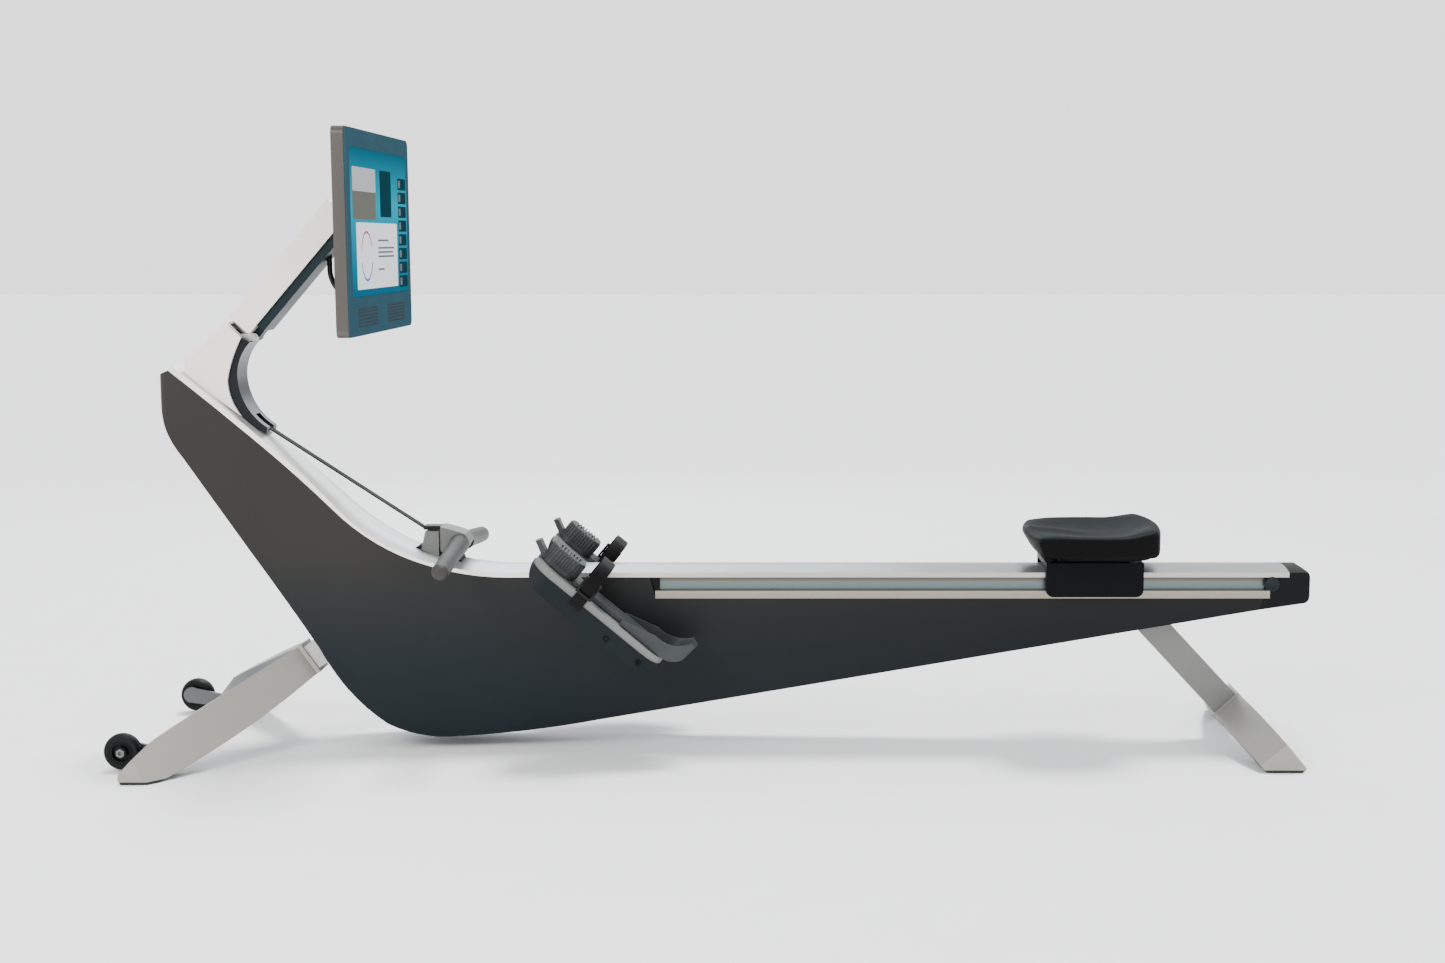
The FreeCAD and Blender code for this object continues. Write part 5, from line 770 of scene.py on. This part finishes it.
for side, word in ((-1, "left"), (1, "right")):
    strip = webStrip("strip", strapPath(), board["strapHalf"], board["strapThick"])
    strap = scatter(strip, "footStrap_" + word, [boardTurn(side, board["strapAlong"], 0, 0)])
    settle(strap, "footWebbing", "machine")
    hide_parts("foot_straps")
    outer = board["half"] + board["tailOut"]
    tailPath = [(side * a, o) for a, o in (
        (outer, 0.068), (outer + 0.0035, 0.072), (outer + 0.0055, 0.066), (outer + 0.0058, 0.05),
        (outer + 0.0062, 0.036),
        (outer + 0.0056, 0.026))]
    tail = scatter(webStrip("tail", tailPath, board["strapHalf"], 0.0018), "strapTail_" + word,
                   [boardTurn(side, board["strapAlong"], 0, 0)])
    settle(tail, "footWebbing", "machine")
    bars = []
    for along, out, wide, tall, deep in (
            (0, 0.0495, 0.035, 0.005, 0.006), (0, 0.034, 0.031, 0.0045, 0.0052),
        (0, 0.0185, 0.035, 0.005, 0.006),
            (-0.0155, 0.034, 0.0045, 0.034, 0.0056), (0.0155, 0.034, 0.0045, 0.034, 0.0056)):
        bpy.ops.mesh.primitive_cube_add(size=1)
        bpy.context.object.scale = (wide, deep, tall)
        bar = startPiece("bar")
        softenEdges(bar, 0.0011, 2)
        bars.append(scatter(bar, "bar", [boardTurn(side, board["strapAlong"] + along,
                                                   side * (board["half"] + board["buckleOut"]), out)]))
    bpy.ops.object.select_all(action="DESELECT")
    for bar in bars:
        bar.select_set(True)
    bpy.context.view_layer.objects.active = bars[0]
    bpy.ops.object.join()
    bars[0].name = "strapBuckle_" + word
    settle(bars[0], "buckleBlack", "machine")
    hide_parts("strap_buckles")
    bpy.ops.mesh.primitive_cylinder_add(vertices=8, radius=0.0006, depth=0.0034,
                                        rotation=(math.radians(90), 0, 0))
    stitch = startPiece("stitch")
    softenEdges(stitch, 0.0002, 1)
    rows = [(along, out) for out in (-0.008, -0.0045, 0.0035, 0.007) for along in
            [-0.0105 + 0.003 * place for place in range(8)]]
    stitches = scatter(stitch, "strapStitches_" + word, [
        boardTurn(side, board["strapAlong"] + along, side * (board["half"] + board["stitchOut"]),
                  out) for along, out in rows])
    settle(stitches, "webbingStitch", "machine")
print("footboards are dressed")

# Wheels, bracket bolts and leg sockets
hardware = {
    "wheelAxle": (-1.097, 0.037),
    "wheelSide": 0.219,
    "hubRadius": 0.0088,
    "rimRadius": 0.0185,
    "hubFace": 0.0124,
    "rimFace": 0.0098,
    "bracketFaces": ((0.2064, 1), (0.1986, -1)),
    "grooveEnd": (1.0585, 0.0566, 0.321),
    "bracketBolts": [(-1.012, 0.031), (-1.058, 0.027)],
    "socketMiddle": (-0.7656, 0.1903),
    "socketAlong": (0.564, -0.826),
    "socketHalfLong": 0.037,
    "socketHalfWide": 0.034,
}
wheelX, wheelZ = hardware["wheelAxle"]
for side, word in ((-1, "left"), (1, "right")):
    faceY = side * (hardware["wheelSide"] + hardware["hubFace"])
    hub = scatter(boltHead("hub", hardware["hubRadius"], 0.005, sides=6, socket=0.5), "wheelHub_" + word,
                  [facing((wheelX, faceY - side * 0.001, wheelZ), (0, side, 0))])
    settle(hub, "hubSteel", "wheel_" + word)
    rim = ringPiece("wheelRim_" + word, hardware["rimRadius"], 0.0016,
                    (wheelX, side * (hardware["wheelSide"] + hardware["rimFace"]), wheelZ),
                    (0, 1, 0))
    settle(rim, "wheelTyre", "wheel_" + word)
bracketBolts = []
for side in (-1, 1):
    for x, z in hardware["bracketBolts"]:
        for face, turn in hardware["bracketFaces"]:
            bracketBolts.append(facing((x, side * face, z), (0, side * turn, 0)))
settle(scatter(boltHead("bolt", 0.0042, 0.0018), "bracketBolts", bracketBolts), "boltZinc", "machine")

alongX, alongZ = hardware["socketAlong"]
bpy.ops.mesh.primitive_cube_add(size=1)
bpy.context.object.scale = (2 * hardware["socketHalfLong"], 2 * hardware["socketHalfWide"], 0.012)
collar = startPiece("legSocketCollar")
pickFaces(collar, lambda polygon: abs(polygon.normal.z) > 0.9)
bpy.ops.mesh.inset(thickness=0.0075)
bpy.ops.mesh.bridge_edge_loops()
bpy.ops.object.mode_set(mode="OBJECT")
softenEdges(collar, 0.003, 4)
outward = Vector((alongZ, 0, -alongX))
lie = Matrix(((alongX, 0, outward.x), (0, 1, 0), (alongZ, 0, outward.z))).to_4x4()
collar.data.transform(Matrix.Translation((hardware["socketMiddle"][0], 0, hardware["socketMiddle"][1])) @ lie)
bpy.ops.object.select_all(action="DESELECT")
collar.select_set(True)
bpy.context.view_layer.objects.active = collar
bpy.ops.object.mode_set(mode="EDIT")
bpy.ops.mesh.select_all(action="SELECT")
bpy.ops.mesh.normals_make_consistent(inside=False)
bpy.ops.object.mode_set(mode="OBJECT")
settle(collar, "hullPaint", "machine")

# Groove ends: a crescent bumper in the end cap on each side
endX, endSide, endZ = hardware["grooveEnd"]
for side, word in ((-1, "left"), (1, "right")):
    bpy.ops.mesh.primitive_cylinder_add(vertices=40, radius=0.014, depth=0.004)
    crescent = startPiece("crescent")
    pickFaces(crescent, lambda polygon: abs(polygon.normal.z) > 0.9)
    bpy.ops.mesh.inset(thickness=0.0035)
    bpy.ops.mesh.inset(thickness=0.001, depth=-0.0012)
    bpy.ops.object.mode_set(mode="OBJECT")
    softenEdges(crescent, 0.0006, 2)
    crescent = scatter(crescent, "grooveEnd_" + word, [facing((endX, side * endSide, endZ), (0, side, 0))])
    settle(crescent, "trimGloss", "machine")

print("hardware is fitted")


# Pull strap and display lead: each is merged and cut into short lengths
def softRun(name, look, start, end):
    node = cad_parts[look["node"]]
    run = bpy.data.objects.new(name, node.data.copy())
    bpy.context.scene.collection.objects.link(run)
    bpy.ops.object.select_all(action="DESELECT")
    bpy.context.view_layer.objects.active = run
    run.select_set(True)
    bpy.ops.object.mode_set(mode="EDIT")
    bpy.ops.mesh.select_all(action="SELECT")
    bpy.ops.mesh.remove_doubles(threshold=look["merge"])
    for cut in range(1, look["sections"]):
        bpy.ops.mesh.select_all(action="SELECT")
        bpy.ops.mesh.bisect(plane_co=start.lerp(end, cut / look["sections"]), plane_no=look["across"])
    bpy.ops.mesh.select_all(action="SELECT")
    bpy.ops.mesh.normals_make_consistent(inside=False)
    if look["smooth"]:
        bpy.ops.mesh.faces_shade_smooth()
    bpy.ops.object.mode_set(mode="OBJECT")
    bpy.ops.object.select_all(action="DESELECT")
    run.data.materials.clear()
    run.data.materials.append(paints[look["paint"]])
    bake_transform(run)
    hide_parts(look["node"])


strap = {"node": "pull_strap", "bodies": ("machine", "handle"), "paint": "pullWebbing", "slot": "webbing",
         "sections": 60, "across": (1, 0, 0), "merge": 0.00002, "smooth": False}
strapLow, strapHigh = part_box("pull_strap")
softRun("pullWebbing", strap, Vector((strapLow.x, 0, strapHigh.z)), Vector((strapHigh.x, 0, strapLow.z)))
lead = {"node": "display_lead", "bodies": ("arm", "display"), "paint": "leadBlack", "slot": "lead",
        "sections": 18, "across": (0, 0, 1), "merge": 0.00002, "smooth": True}
leadLow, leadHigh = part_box("display_lead")
softRun("displayLead", lead, Vector((leadLow.x, 0, leadHigh.z)), Vector((leadHigh.x, 0, leadLow.z)))
print("pull strap and lead are fitted")
